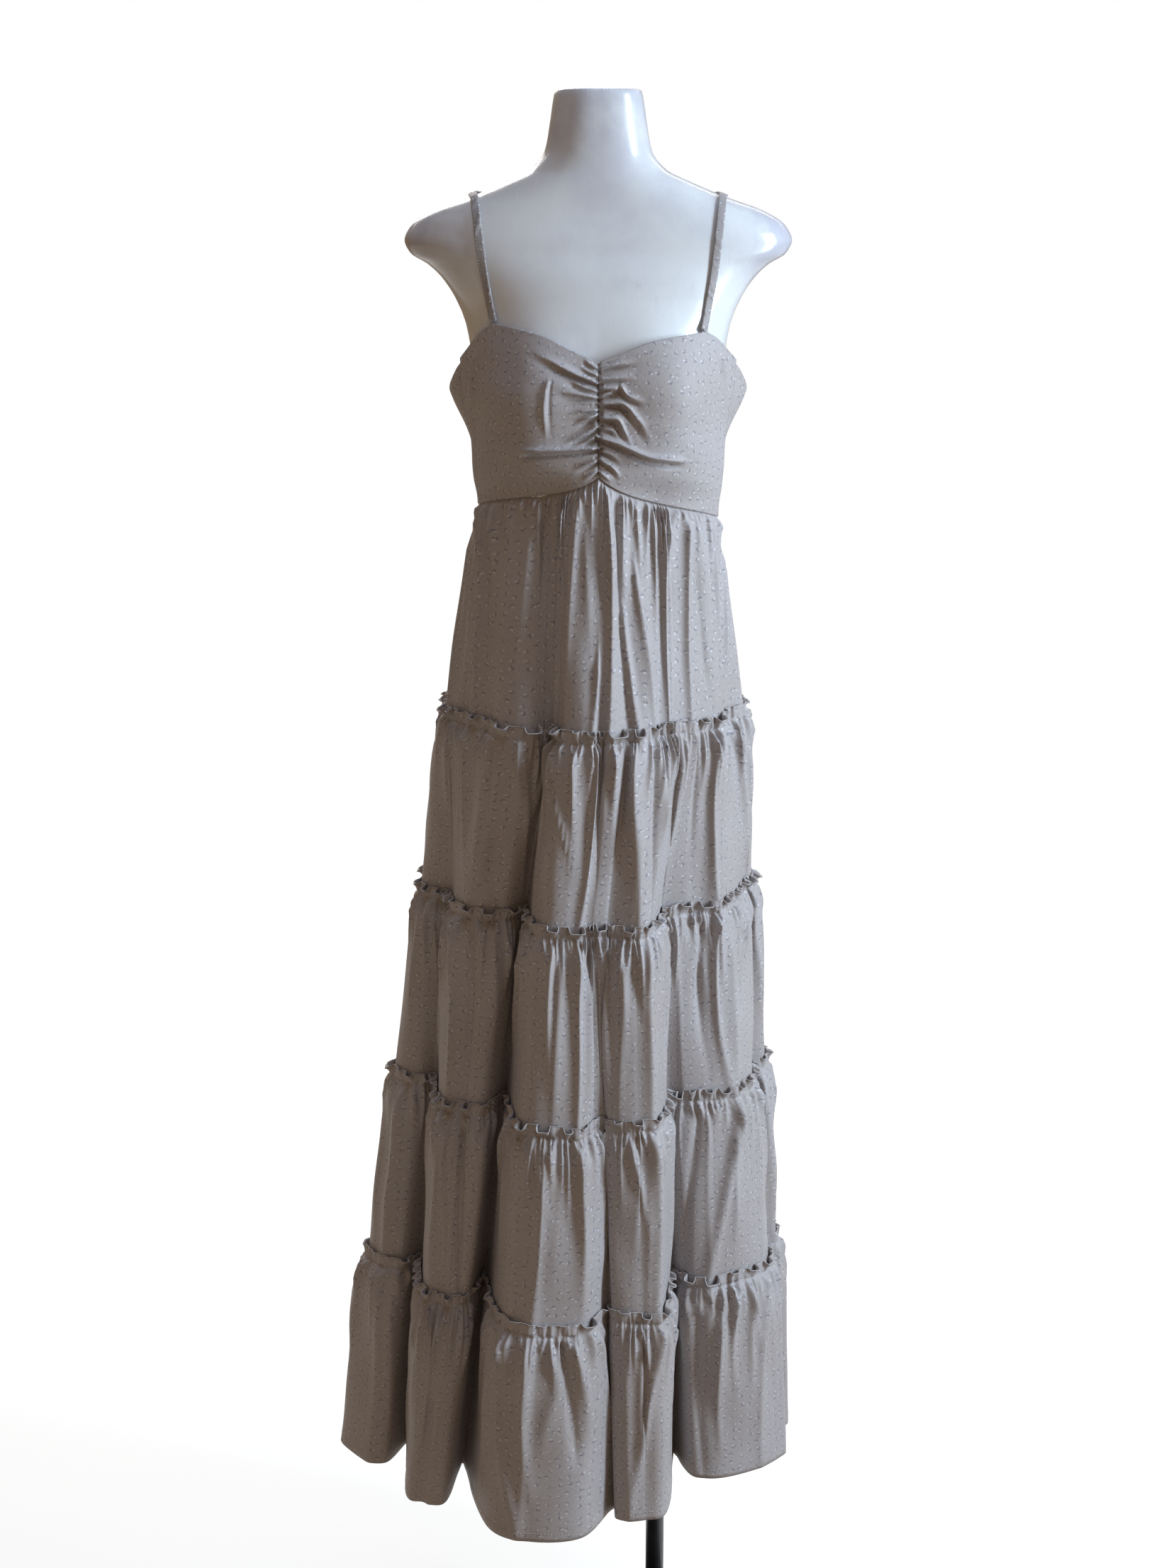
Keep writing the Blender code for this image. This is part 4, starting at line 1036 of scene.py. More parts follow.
def cloth_material(name, tint=1.0):
    """Soft crepe with a scattered two-stroke print, in the cloth's own metres."""
    material, tree, shader = new_material(name)
    where = node(tree, "ShaderNodeUVMap", uv_map="cloth").outputs["UV"]
    base, warm, cool = [tuple(tint * c for c in colour)
                        for colour in (BASE_COLOUR, BASE_WARM, BASE_COOL)]
    slow = soft_step(tree, noise(tree, where, 9.0, 3.0), 0.30, 0.70)
    colour = mixed(tree, 0.55, mixed(tree, slow, warm, cool), base)
    slub = node(tree, "ShaderNodeMapping", {"Vector": where, "Scale": (900.0, 260.0, 1.0)})
    thread = noise(tree, slub.outputs["Vector"], 1.0, 3.0, 0.6)
    colour = scaled(tree, colour, soft_step(tree, thread, 0.34, 0.66, 0.90, 1.08))

    cells = node(tree, "ShaderNodeTexVoronoi", voronoi_dimensions="2D", feature="F1")
    feed(tree, cells, {"Vector": where, "Scale": 1.0 / MOTIF_SPACING, "Randomness": 0.62})
    local = node(tree, "ShaderNodeVectorMath", {0: where, 1: cells.outputs["Position"]},
                 operation="SUBTRACT")
    in_millimetres = scaled(tree, local.outputs["Vector"], 1000.0)
    chance = node(tree, "ShaderNodeSeparateColor", {"Color": cells.outputs["Color"]})
    angle = value_of(tree, "MULTIPLY", chance.outputs["Red"], 2.0 * math.pi)
    turn = node(tree, "ShaderNodeVectorRotate", rotation_type="Z_AXIS")
    feed(tree, turn, {"Vector": in_millimetres, "Angle": angle})
    place = node(tree, "ShaderNodeSeparateXYZ", {"Vector": turn.outputs["Vector"]})
    x = place.outputs["X"]
    y = place.outputs["Y"]
    dark = stroke(tree, x, y, *DARK_STROKE)
    stem = stroke(tree, x, y, *DARK_STEM)
    dark = value_of(tree, "MAXIMUM", dark, value_of(tree, "MULTIPLY", stem, 0.9))
    light = stroke(tree, x, y, *LIGHT_STROKE)
    strength = soft_step(tree, chance.outputs["Green"], 0.0, 1.0, 0.45, 0.92)
    fresh = soft_step(tree, chance.outputs["Blue"], 0.0, 1.0, 0.35, 0.85)
    colour = mixed(tree, value_of(tree, "MULTIPLY", light, fresh), colour, CHALK)
    colour = mixed(tree, value_of(tree, "MULTIPLY", dark, strength), colour, INK)

    rough = soft_step(tree, thread, 0.2, 0.8, 0.52, 0.68)
    feed(tree, shader, {"Base Color": colour, "Roughness": rough, "Sheen Weight": 0.10,
                        "Sheen Roughness": 0.40, "Specular IOR Level": 0.40})
    crepe = noise(tree, slub.outputs["Vector"], 0.8, 4.0, 0.65)
    crumple = noise(tree, where, 55.0, 3.0, 0.55)
    height = value_of(tree, "ADD", value_of(tree, "MULTIPLY", crepe, 0.22), crumple)
    relief(tree, shader, height, 0.35, 0.0012)
    return material


def thread_material(name, colour):
    """Matt sewing thread."""
    material, tree, shader = new_material(name)
    twist = noise(tree, place_of(tree), 900.0, 2.0)
    shade = soft_step(tree, twist, 0.3, 0.7, 0.8, 1.12)
    feed(tree, shader, {"Base Color": scaled(tree, colour, shade), "Roughness": 0.6,
                        "Sheen Weight": 0.2})
    relief(tree, shader, twist, 0.3, 0.0003)
    return material


def form_material():
    """Glossy white shell of the dress form, with faint scuffs, and grey patches on the shoulders
    and neck that are partly smudges, partly painted shade.
    """
    material, tree, shader = new_material("form_gloss_look")
    where = place_of(tree)
    mottled = soft_step(tree, noise(tree, where, 7.0, 4.0, 0.6), 0.42, 0.74)
    colour = mixed(tree, mottled, (0.68, 0.69, 0.69), (0.55, 0.55, 0.58))
    stretched = node(tree, "ShaderNodeMapping", {
        "Vector": where, "Scale": (60.0, 60.0, 22.0), "Rotation": (0.5, 0.3, 0.2)})
    scuff = noise(tree, stretched.outputs["Vector"], 1.0, 5.0, 0.7)
    marks = soft_step(tree, scuff, 0.60, 0.74, 0.0, 0.36)
    colour = mixed(tree, marks, colour, (0.46, 0.44, 0.49))
    # Darker grey-violet patches on the outer shoulders and round the neck: partly the form's own
    # smudges, partly painted shade that tones down the light on them.
    spot = node(tree, "ShaderNodeSeparateXYZ", {"Vector": where}).outputs
    outer = soft_step(tree, value_of(tree, "ABSOLUTE", spot["X"]), 0.125, 0.185)
    shoulders = value_of(tree, "MULTIPLY", outer, soft_step(tree, spot["Z"], 1.60, 1.66))
    neck = value_of(tree, "MULTIPLY", soft_step(tree, spot["Z"], 1.735, 1.80), 0.8)
    smudge_and_shade = value_of(tree, "MAXIMUM", shoulders, neck)
    patchy = soft_step(tree, noise(tree, where, 13.0, 4.0, 0.6), 0.38, 0.62, 0.15, 0.62)
    colour = mixed(tree, value_of(tree, "MULTIPLY", smudge_and_shade, patchy), colour, (0.36, 0.35, 0.42))
    feed(tree, shader, {"Base Color": colour, "Coat Weight": 0.25, "Coat Roughness": 0.12,
                        "Roughness": soft_step(tree, scuff, 0.35, 0.75, 0.20, 0.42)})
    relief(tree, shader, noise(tree, where, 38.0, 3.0), 0.12, 0.001)
    return material


def steel_material():
    """Satin black painted steel."""
    material, tree, shader = new_material("stand_black_look")
    where = place_of(tree)
    cloud = noise(tree, where, 14.0, 4.0, 0.6)
    shade = soft_step(tree, cloud, 0.35, 0.75)
    feed(tree, shader, {
        "Base Color": mixed(tree, shade, (0.0075, 0.0075, 0.009), (0.017, 0.017, 0.019)),
        "Roughness": soft_step(tree, cloud, 0.3, 0.8, 0.30, 0.46)})
    relief(tree, shader, noise(tree, where, 900.0, 2.0), 0.15, 0.0002)
    return material


def floor_material():
    """Plain pale floor, which shines a little by itself."""
    material, tree, shader = new_material("studio_pale")
    shade = soft_step(tree, noise(tree, place_of(tree), 1.4, 3.0), 0.3, 0.7)
    feed(tree, shader, {
        "Base Color": mixed(tree, shade, (0.27, 0.27, 0.27), (0.29, 0.29, 0.29)),
        "Roughness": 0.85, "Emission Color": (0.96, 0.99, 1.0), "Emission Strength": 0.71})
    return material


# Pieces

# The top tier's tuck under the bodice: how deep it is, and how far it runs up behind the seam
WAIST_TUCK = 0.0024
TUCK_RISE = 0.005
TUCK_DROP = 0.007
TUCK_PART = 0.10
TUCK_AT_SIDES = 0.15

# The ruffled headings: rows, height along the cloth, least and most wave length, degrees that
# they lean out by and flop over by, and how much they wander along the seam
HEADING_ROWS = 7
HEADING_ARC = 0.0135
WAVE_SHORT = 0.013
WAVE_LONG = 0.031
FLANGE_LEAN = 5.0
FLANGE_FLOP = 66.0
MEANDER = 0.14
QUIET_SHARE = 0.42
QUIET_POWER = 0.22
FULL_POWER = 0.86
POWER_SPREAD = (0.75, 1.15)
PLEAT_ROW = 4
BODY_DEPTHS = (0.0, 0.0012, 0.0026, 0.0042, 0.0062, 0.0088, 0.012, 0.016, 0.021, 0.027, 0.034)
BODY_ROWS_BELOW = 15
CARRIED_PART = 0.40
CLOTH_MAP_STEP = (0.37, 0.61)
EDGE_RADIUS = 0.00062
EDGE_SIDES = 5
HEM_STITCHES_UP = 0.010


def depth_rows(drop, tail):
    """Depths of a tier's rows: close under the seam and at the bottom, wider between."""
    start = BODY_DEPTHS[-1]
    middle = np.linspace(start, drop - 0.010, BODY_ROWS_BELOW)[1:]
    low = np.array([drop - 0.005, drop])
    rows = np.concatenate([BODY_DEPTHS, middle, low])
    if tail > 0.0:
        rows = np.append(rows, drop + tail)
    return rows


def heading_waves(tier, share, length):
    """Phase, strength and local wave length of the ruffled heading."""
    rng = seeded(tier, 222)
    marks = [0.0]
    while marks[-1] < length:
        marks.append(marks[-1] + rng.uniform(WAVE_SHORT, WAVE_LONG))
    marks = np.array(marks) * length / marks[-1]
    waves = len(marks) - 1
    place = share * length
    phase = 2.0 * math.pi * np.interp(place, marks, np.arange(waves + 1))
    power = np.where(rng.random(waves) < QUIET_SHARE, QUIET_POWER, FULL_POWER)
    power = power * rng.uniform(*POWER_SPREAD, waves)
    middle = (marks[1:] + marks[:-1]) / 2.0
    ring = np.concatenate([[middle[-1] - length], middle, [middle[0] + length]])
    strength, local = [np.interp(place, ring, np.concatenate([[row[-1]], row, [row[0]]]))
                       for row in (power, np.diff(marks))]
    return phase, strength, local


def waist_row(tier, share, depth, part, drop):
    """Plan, heights and tuck of one row of the top tier, which hangs from the waist seam."""
    section = plan_at(WAIST_SECTION_TOP, share)
    top_z = waist_height(np.degrees(np.arctan2(section[:, 0], -section[:, 1]))) - SEAM_GAP
    level = WAIST_SECTION_TOP + (tier.bottom - WAIST_SECTION_TOP) * part
    level = level if depth <= drop else tier.bottom - (depth - drop)
    ring = plan_at(level, share)
    drawn_in = 1.0 - ease(part / TUCK_PART)
    angle = np.arctan2(ring[:, 0], -ring[:, 1])
    reach = bodice_reach(np.degrees(angle), WAIST_SIDE)
    smooth = np.stack([reach * np.sin(angle), -reach * np.cos(angle)], axis=1)
    ring = ring * (1.0 - drawn_in) + smooth * drawn_in
    z = top_z * (1.0 - part) + tier.bottom * part - max(depth - drop, 0.0) - min(depth, 0.0)
    facing = TUCK_AT_SIDES + (1.0 - TUCK_AT_SIDES) * ease(np.abs(np.cos(angle)) / 0.6)
    return ring, z, -WAIST_TUCK * facing * (1.0 - ease(depth / TUCK_DROP))


def heading_rows(tier, share, normal, foot_z, pleat):
    """Rows of the ruffled heading, from its free edge down to the seam."""
    phase, strength, local = heading_waves(tier.number, share,
                                           plan_frame(plan_at(tier.top, share))[2])
    calm = calm_at(tier.top, share)
    under = bottom_lift(tier.number - 1, share)
    tangent = np.stack([-normal[:, 1], normal[:, 0]], axis=1)
    flop = ease((np.sin(phase) - 0.05) / 0.80)
    lean = np.radians(FLANGE_LEAN + FLANGE_FLOP * strength * flop)
    lean = lean * (LEAST_CALM + (1.0 - LEAST_CALM) * calm)
    meander = MEANDER * local * strength * calm
    step = HEADING_ARC / HEADING_ROWS
    out = np.zeros(len(share))
    up = np.zeros(len(share))
    rows = []
    for k in range(1, HEADING_ROWS + 1):
        grown = k / HEADING_ROWS
        bend = lean * (0.30 + 0.95 * grown)
        out = out + np.sin(bend) * step
        up = up + np.cos(bend) * step
        shift = -meander * np.sin(2.0 * phase) * grown
        offset = np.maximum(out + pleat * ease(grown * 5.0) * (0.80 - 0.45 * grown), 0.0002)
        ring = plan_at(tier.top + HEADING_HEIGHT * grown, share)
        outward, hollow, _ = plan_frame(ring)
        offset = kept_within(offset + LAP + under, hollow)
        plan = ring + outward * offset[:, None] + tangent * shift[:, None]
        rows.append(np.column_stack([plan, foot_z + up]))
    return rows[::-1]


def tier_grid(tier):
    """The outer points of one tier, its cloth map, and the outward direction of each row."""
    share = column_shares(tier.columns)
    first = tier.top is None
    last = tier.number == len(TIERS)
    top = WAIST_SIDE if first else tier.top
    drop = top - tier.bottom
    depths = depth_rows(drop, 0.0 if last else UPPER_TUCK - GAUGE)
    if first:
        depths = np.append(-TUCK_RISE, depths)
    parts = np.clip(depths / drop, 0.0, 1.0)
    length = plan_frame(plan_at((tier.bottom + top) / 2.0, share))[2]
    upper, middle, lower = [calm_at(top - drop * mark, share) for mark in (0.0, 0.5, 1.0)]
    twice = 2.0 * parts[:, None]
    calms = np.where(twice < 1.0, upper * (1.0 - twice) + middle * twice,
                     middle * (2.0 - twice) + lower * (twice - 1.0))
    lifts = own_lift(tier.number, share, depths, drop, length, calms)
    none = np.zeros_like(share)
    sway_top = none if first else seam_sway(tier.number - 1, share)
    sway_bottom = none if last else seam_sway(tier.number, share)
    carried = none if first else bottom_lift(tier.number - 1, share)
    rows = []
    normals = []
    for depth, part, calm, lift in zip(depths, parts, calms, lifts):
        if first:
            ring, z, base = waist_row(tier, share, depth, part, drop)
            lift = lift * (0.25 + 0.75 * ease(depth / 0.006)) if depth >= 0.0 else none
        else:
            ring = plan_at(top - depth, share)
            z = (top - depth) * np.ones(len(share))
            base = PUFF * through(*zip(*PUFF_ROWS), part) * calm + LAP * (1.0 - part)
            base = base + carried * (1.0 - ease(part / CARRIED_PART))
        normal, hollow, _ = plan_frame(ring)
        lift = kept_within(lift + base, hollow)
        z = z + sway_top * (1.0 - ease(part / 0.5)) + sway_bottom * ease((part - 0.5) / 0.5)
        rows.append(np.column_stack([ring + normal * lift[:, None], z]))
        normals.append(normal)
    if not first:
        foot_z = rows[0][:, 2]
        rows = heading_rows(tier, share, normals[0], foot_z, lifts[PLEAT_ROW] - lifts[0]) + rows
        up = HEADING_ARC * np.arange(HEADING_ROWS, 0, -1) / HEADING_ROWS
        depths = np.concatenate([-up, depths])
    u = np.append(share, 1.0) * length + CLOTH_MAP_STEP[0] * tier.number
    v = -depths + CLOTH_MAP_STEP[1] * tier.number
    texture = np.stack(np.meshgrid(u, v, indexing="xy"), axis=2)
    return np.stack(rows), texture, normals


def sewn_round(name, line, normal, lift, length, gap, radius, thread):
    """Stitches all round the skirt along one row of its points."""
    out = np.column_stack([normal, np.zeros(len(normal))])
    out = np.concatenate([out, out[:1]])
    loop = np.concatenate([line, line[:1]])
    return stitches(name, loop + out * lift, out, length, gap, radius, thread)


def build_skirt(cloth, thread, edge_thread):
    """The five tiers with their ruffled headings, stitching and hem."""
    pieces = {}
    for tier in TIERS:
        grid, texture, normals = tier_grid(tier)
        name = f"tier_{tier.number}"
        piece = cloth_shell(f"{name}_cloth", grid, GAUGE, texture, cloth, True)
        extras = []
        if tier.top is not None:
            extras.append(sewn_round(f"{name}_stitches", grid[HEADING_ROWS], normals[0], 0.00025,
                                     0.0024, 0.0011, 0.00034, thread))
            extras.append(closed_rod(f"{name}_rolled_edge", grid[0], EDGE_RADIUS, EDGE_SIDES,
                                     edge_thread))
        if tier.number == len(TIERS):
            heights = grid[:, :, 2].mean(axis=1)
            row = int(np.argmin(np.abs(heights - (HEM + HEM_STITCHES_UP))))
            extras.append(sewn_round("hem_stitches", grid[row], normals[row - HEADING_ROWS], 0.0002,
                                     0.0026, 0.0012, 0.00030, thread))
        pieces[tier.number] = (piece, extras)
    return pieces


FRONT_COLUMNS = 118
FRONT_ROWS = 112
BACK_COLUMNS = 150
BACK_ROWS = 44
BODICE_RADIUS = 0.125

Pull = namedtuple("Pull", "side line width height shadow hold", defaults=(0.35,))

# Creases of the ruched front, listed one by one: the side of the centre seam, places along the
# crease as bearing and height, half its width, how far it stands out, the depth of the trough
# under it as a share of that, and the part of its length that keeps its full height
PULLS = (
    Pull(-1, ((0, 1.5400), (12, 1.5490), (23, 1.5600), (38, 1.5750)), 0.0036, 0.0044, 0.75),
    Pull(-1, ((0, 1.5540), (5, 1.5590), (9, 1.5670)), 0.0026, 0.0022, 0.5),
    Pull(-1, ((0, 1.5470), (6, 1.5520), (12, 1.5570)), 0.0024, 0.0022, 0.5),
    Pull(-1, ((0, 1.5315), (9, 1.5370), (18, 1.5470)), 0.0030, 0.0034, 0.6),
    Pull(-1, ((0, 1.5250), (10, 1.5285), (22, 1.5310)), 0.0030, 0.0034, 1.0),
    Pull(-1, ((0, 1.5130), (8, 1.5120), (15, 1.5095)), 0.0028, 0.0028, 0.6),
    Pull(-1, ((0, 1.5085), (6, 1.5045), (14, 1.4970)), 0.0028, 0.0034, 0.9),
    Pull(-1, ((0, 1.4960), (10, 1.4860), (20, 1.4780)), 0.0032, 0.0036, 0.8),
    Pull(-1, ((0, 1.4855), (7, 1.4810), (15, 1.4750)), 0.0026, 0.0026, 0.6),
    Pull(-1, ((0, 1.4735), (12, 1.4725), (24, 1.4715), (44, 1.4700)), 0.0030, 0.0058, 1.1, 0.76),
    Pull(-1, ((0, 1.4610), (7, 1.4565), (15, 1.4515)), 0.0028, 0.0028, 0.7),
    Pull(-1, ((0, 1.4500), (5, 1.4450), (10, 1.4400)), 0.0024, 0.0022, 0.5),
    Pull(-1, ((25.0, 1.5470), (26.3, 1.5200), (26.8, 1.4770)), 0.0022, 0.0024, 0.4),
    Pull(-1, ((65, 1.5760), (71, 1.5400), (76, 1.4970)), 0.0050, 0.0024, 0.3),
    Pull(1, ((0, 1.5600), (6, 1.5645), (12, 1.5700)), 0.0026, 0.0022, 0.6),
    Pull(1, ((0, 1.5545), (10, 1.5590), (22, 1.5630)), 0.0028, 0.0034, 0.9),
    Pull(1, ((0, 1.5440), (10, 1.5455), (21, 1.5475)), 0.0030, 0.0034, 0.8),
    Pull(1, ((0, 1.5350), (8, 1.5350), (15, 1.5320)), 0.0026, 0.0028, 0.6),
    Pull(1, ((0, 1.5265), (7, 1.5310), (13, 1.5365)), 0.0026, 0.0026, 0.6),
    Pull(1, ((11.0, 1.5400), (15.0, 1.5275), (24.0, 1.5205)), 0.0030, 0.0032, 0.7),
    Pull(1, ((0, 1.5190), (11, 1.5200), (20, 1.5030), (29, 1.4720)), 0.0034, 0.0042, 0.9),
    Pull(1, ((0, 1.5050), (9, 1.5040), (14, 1.4900), (19, 1.4710)), 0.0032, 0.0040, 0.7),
    Pull(1, ((0, 1.4945), (6, 1.4930), (12, 1.4860)), 0.0026, 0.0028, 0.7),
    Pull(1, ((0, 1.4845), (9, 1.4795), (28, 1.4630), (48, 1.4580)), 0.0030, 0.0060, 1.1, 0.76),
    Pull(1, ((0, 1.4730), (7, 1.4670), (14, 1.4580)), 0.0028, 0.0030, 0.7),
    Pull(1, ((0, 1.4630), (8, 1.4530), (13, 1.4410)), 0.0028, 0.0030, 0.7),
    Pull(1, ((0, 1.4500), (4, 1.4440), (8, 1.4370)), 0.0024, 0.0022, 0.5),
    Pull(1, ((66, 1.5740), (72, 1.5350), (75, 1.4900)), 0.0050, 0.0020, 0.3),
)
PULL_STEPS = 18
PULL_GAIN = 1.60
PULL_SLIMMER = 0.88
PULL_DEEPEST = -0.0045
EDGE_STEP = 0.0020
WING_TIP = 0.0035


def pull_field(signed, z):
    """Height of the listed creases of the bodice."""
    s = np.radians(signed) * BODICE_RADIUS
    total = np.zeros_like(z)
    for row in PULLS:
        table = np.array(row.line, float)
        knots = np.linspace(0.0, 1.0, len(table))
        t = np.linspace(0.0, 1.0, PULL_STEPS + 1)
        line_s = np.radians(through(knots, table[:, 0], t)) * BODICE_RADIUS * row.side
        line_z = through(knots, table[:, 1], t)
        nearest = np.full(z.shape, 1.0)
        place = np.zeros_like(z)
        above = np.zeros_like(z)
        for k in range(PULL_STEPS):
            run = line_s[k + 1] - line_s[k]
            climb = line_z[k + 1] - line_z[k]
            from_s = s - line_s[k]
            from_z = z - line_z[k]
            u = (from_s * run + from_z * climb) / (run * run + climb * climb)
            u = np.clip(u, 0.0, 1.0)
            gap_s = from_s - u * run
            gap_z = from_z - u * climb
            gap = np.sqrt(gap_s ** 2 + gap_z ** 2)
            closer = gap < nearest
            nearest = np.where(closer, gap, nearest)
            place = np.where(closer, (k + u) / PULL_STEPS, place)
            above = np.where(closer, (run * gap_z - climb * gap_s) * row.side, above)
        signed_gap = np.where(above >= 0.0, nearest, -nearest)
        if table[0, 0] > 0.0:
            fade = ease(place / 0.25) * (1.0 - ease((place - 0.6) / 0.4))
        else:
            fade = 0.55 + 0.45 * ease(place / 0.10)
            fade = fade * (1.0 - ease((place - row.hold) / (1.0 - row.hold)))
        width = PULL_SLIMMER * row.width * (0.75 + 0.6 * place)
        trough = np.exp(-((signed_gap / width + 1.6) / 0.85) ** 2)
        ridge = peak(signed_gap / width) - row.shadow * trough
        total = total + PULL_GAIN * row.height * fade * ridge
    return total


SEAM_GROOVE = 0.0026
SEAM_GROOVE_WIDTH = 0.0019
PUCKER = 0.0010
PUCKER_SPACING = 0.0088
PUCKER_REACH = 0.008
PUCKER_ONSET = 0.0016


def seam_field(signed, z):
    """The centre seam's groove, and the puckers beside it."""
    s = np.abs(np.radians(signed)) * BODICE_RADIUS
    groove = -SEAM_GROOVE * np.exp(-(s / SEAM_GROOVE_WIDTH) ** 2)
    beat = np.sin(2.0 * math.pi * z / PUCKER_SPACING + 1.3 * np.sin(150.0 * z)
                  + np.where(signed > 0.0, 0.0, 2.1))
    near = np.exp(-s / PUCKER_REACH) * (1.0 - np.exp(-s / PUCKER_ONSET))
    return groove + PUCKER * beat * near


def bodice_grid(start, stop, columns, rows, ruched):
    """Outer points of a bodice panel, and its cloth map."""
    half_gap = math.degrees(SEAM_GAP / 2.0 / 0.12)
    place = np.linspace(0.0, 1.0, columns)
    if ruched:
        place = 0.55 * place + 0.45 * place ** 2
        place = place if start == 0.0 else 1.0 - place[::-1]
    bearing = (start + half_gap + (stop - start - 2.0 * half_gap) * place)[None, :]
    share = np.linspace(0.0, 1.0, rows)[:, None]
    low = waist_height(bearing)
    z = low + (top_height(bearing) - low) * share
    settle = ease(share / WAIST_SETTLE)
    reach = bodice_reach(bearing, WAIST_SIDE) * (1.0 - settle) + bodice_reach(bearing, z) * settle
    away = from_front(bearing)
    if ruched:
        margin = ease(share / RUCHE_MARGIN) * ease((1.0 - share) / RUCHE_MARGIN)
        reach = reach + ruching(bearing, z) * margin
        signed = signed_bearing(bearing) * np.ones_like(reach)
        fine = np.maximum(pull_field(signed, z) + seam_field(signed, z), PULL_DEEPEST)
        reach = reach + fine * (ease(share / 0.05) * ease((1.0 - share) / 0.04))
        reach = reach + EDGE_STEP * ease((away - 72.0) / 8.0)
    else:
        reach = reach - EDGE_STEP * (1.0 - ease((away - SIDE_SEAM) / 6.0))
        tip = np.exp(-np.abs(away - WING_BEARING) / 6.0) * np.exp(-np.abs(z - WING_FULL) / 0.012)
        reach = reach + WING_TIP * tip
    angle = np.radians(bearing)
    grid = np.stack([reach * np.sin(angle), -reach * np.cos(angle), z], axis=2)
    arc = angle * BODICE_RADIUS * np.ones_like(reach)
    return grid, np.stack([arc + 3.1, z], axis=2)


def build_bodice(cloth):
    """Two ruched fronts and the back."""
    made = {}
    for name, start, stop, columns, rows, ruched in (
        ("front_right_cloth", 0.0, SIDE_SEAM, FRONT_COLUMNS, FRONT_ROWS, True),
        ("front_left_cloth", 360.0 - SIDE_SEAM, 360.0, FRONT_COLUMNS, FRONT_ROWS, True),
        ("back_cloth", SIDE_SEAM, 360.0 - SIDE_SEAM, BACK_COLUMNS, BACK_ROWS, False),
    ):
        grid, texture = bodice_grid(start, stop, columns, rows, ruched)
        made[name] = cloth_shell(name, grid, BODICE_GAUGE, texture, cloth, False)
    return made


def form_hit(x, pivot, way):
    """Where a line in the upright plane at x leaves the dress form."""
    near = 0.0
    far = SEARCH_REACH
    for _ in range(SEARCH_STEPS):
        middle = (near + far) / 2.0
        y = pivot[0] + way[0] * middle
        z = pivot[1] + way[1] * middle
        bearing = math.degrees(math.atan2(x, -y))
        inside = z < FORM_LEVELS[-1].z and math.hypot(x, y) < float(form_reach(bearing, z))
        if inside:
            near = middle
        else:
            far = middle
    return pivot[0] + way[0] * far, pivot[1] + way[1] * far


def form_normal(point):
    """Direction out of the dress form at a point near its surface."""
    slopes = []
    for axis in range(3):
        ends = []
        for sign in (1.0, -1.0):
            x, y, z = point + sign * NORMAL_STEP * np.eye(3)[axis]
            bearing = math.degrees(math.atan2(x, -y))
            ends.append(math.hypot(x, y) - float(form_reach(bearing, z)))
        slopes.append(ends[0] - ends[1])
    slopes = np.array(slopes)
    return slopes / np.linalg.norm(slopes)


def strap_ends(side):
    """Middle of the cloth's top edge where the strap is sewn, at the front and at the back."""
    ends = []
    for bearing in (STRAP_FRONT, STRAP_BACK):
        z = float(top_height(side * bearing))
        reach = float(bodice_reach(bearing, z)) - CLOTH / 2.0
        angle = math.radians(bearing)
        ends.append(np.array([side * reach * math.sin(angle), -reach * math.cos(angle),
                              z + STRAP_LIFT]))
    return ends


def strap_line(side):
    """Centre line of a strap over the shoulder, with its outward and sideways directions."""
    front, back = strap_ends(side)
    start = math.atan2(front[2] - STRAP_PIVOT_Z, -front[1])
    stop = math.pi - math.atan2(back[2] - STRAP_PIVOT_Z, back[1])
    top_share = (math.pi / 2.0 - start) / (stop - start)
    points = []
    for share in np.linspace(0.0, 1.0, STRAP_SAMPLES):
        angle = start + (stop - start) * share
        crest = side * STRAP_TOP_X
        if share < top_share:
            x = front[0] + (crest - front[0]) * share / top_share
        else:
            x = crest + (back[0] - crest) * (share - top_share) / (1.0 - top_share)
        y, z = form_hit(x, (0.0, STRAP_PIVOT_Z), (-math.cos(angle), math.sin(angle)))
        points.append((x, y, z))
    line = np.array(points)
    out = np.array([form_normal(point) for point in line])
    line = line + out * (STRAP_CLEAR + STRAP_THICK / 2.0)
    return line, out, front, back


STRAP_SIDES = 18
STRAP_BLEND = 13.5
STRAP_STITCH_LINES = (-0.36, 0.36)

# The straps' small pull wrinkles: how many, and the least and most of the slant and height of each
Wrinkles = namedtuple("Wrinkles", "count slants heights")

LEFT_WRINKLES = Wrinkles(64, (0.9, 1.8), (0.0004, 0.0011))
RIGHT_WRINKLES = Wrinkles(34, (-1.3, 1.3), (0.0002, 0.0006))
WRINKLE_WIDTHS = (0.0015, 0.0026)


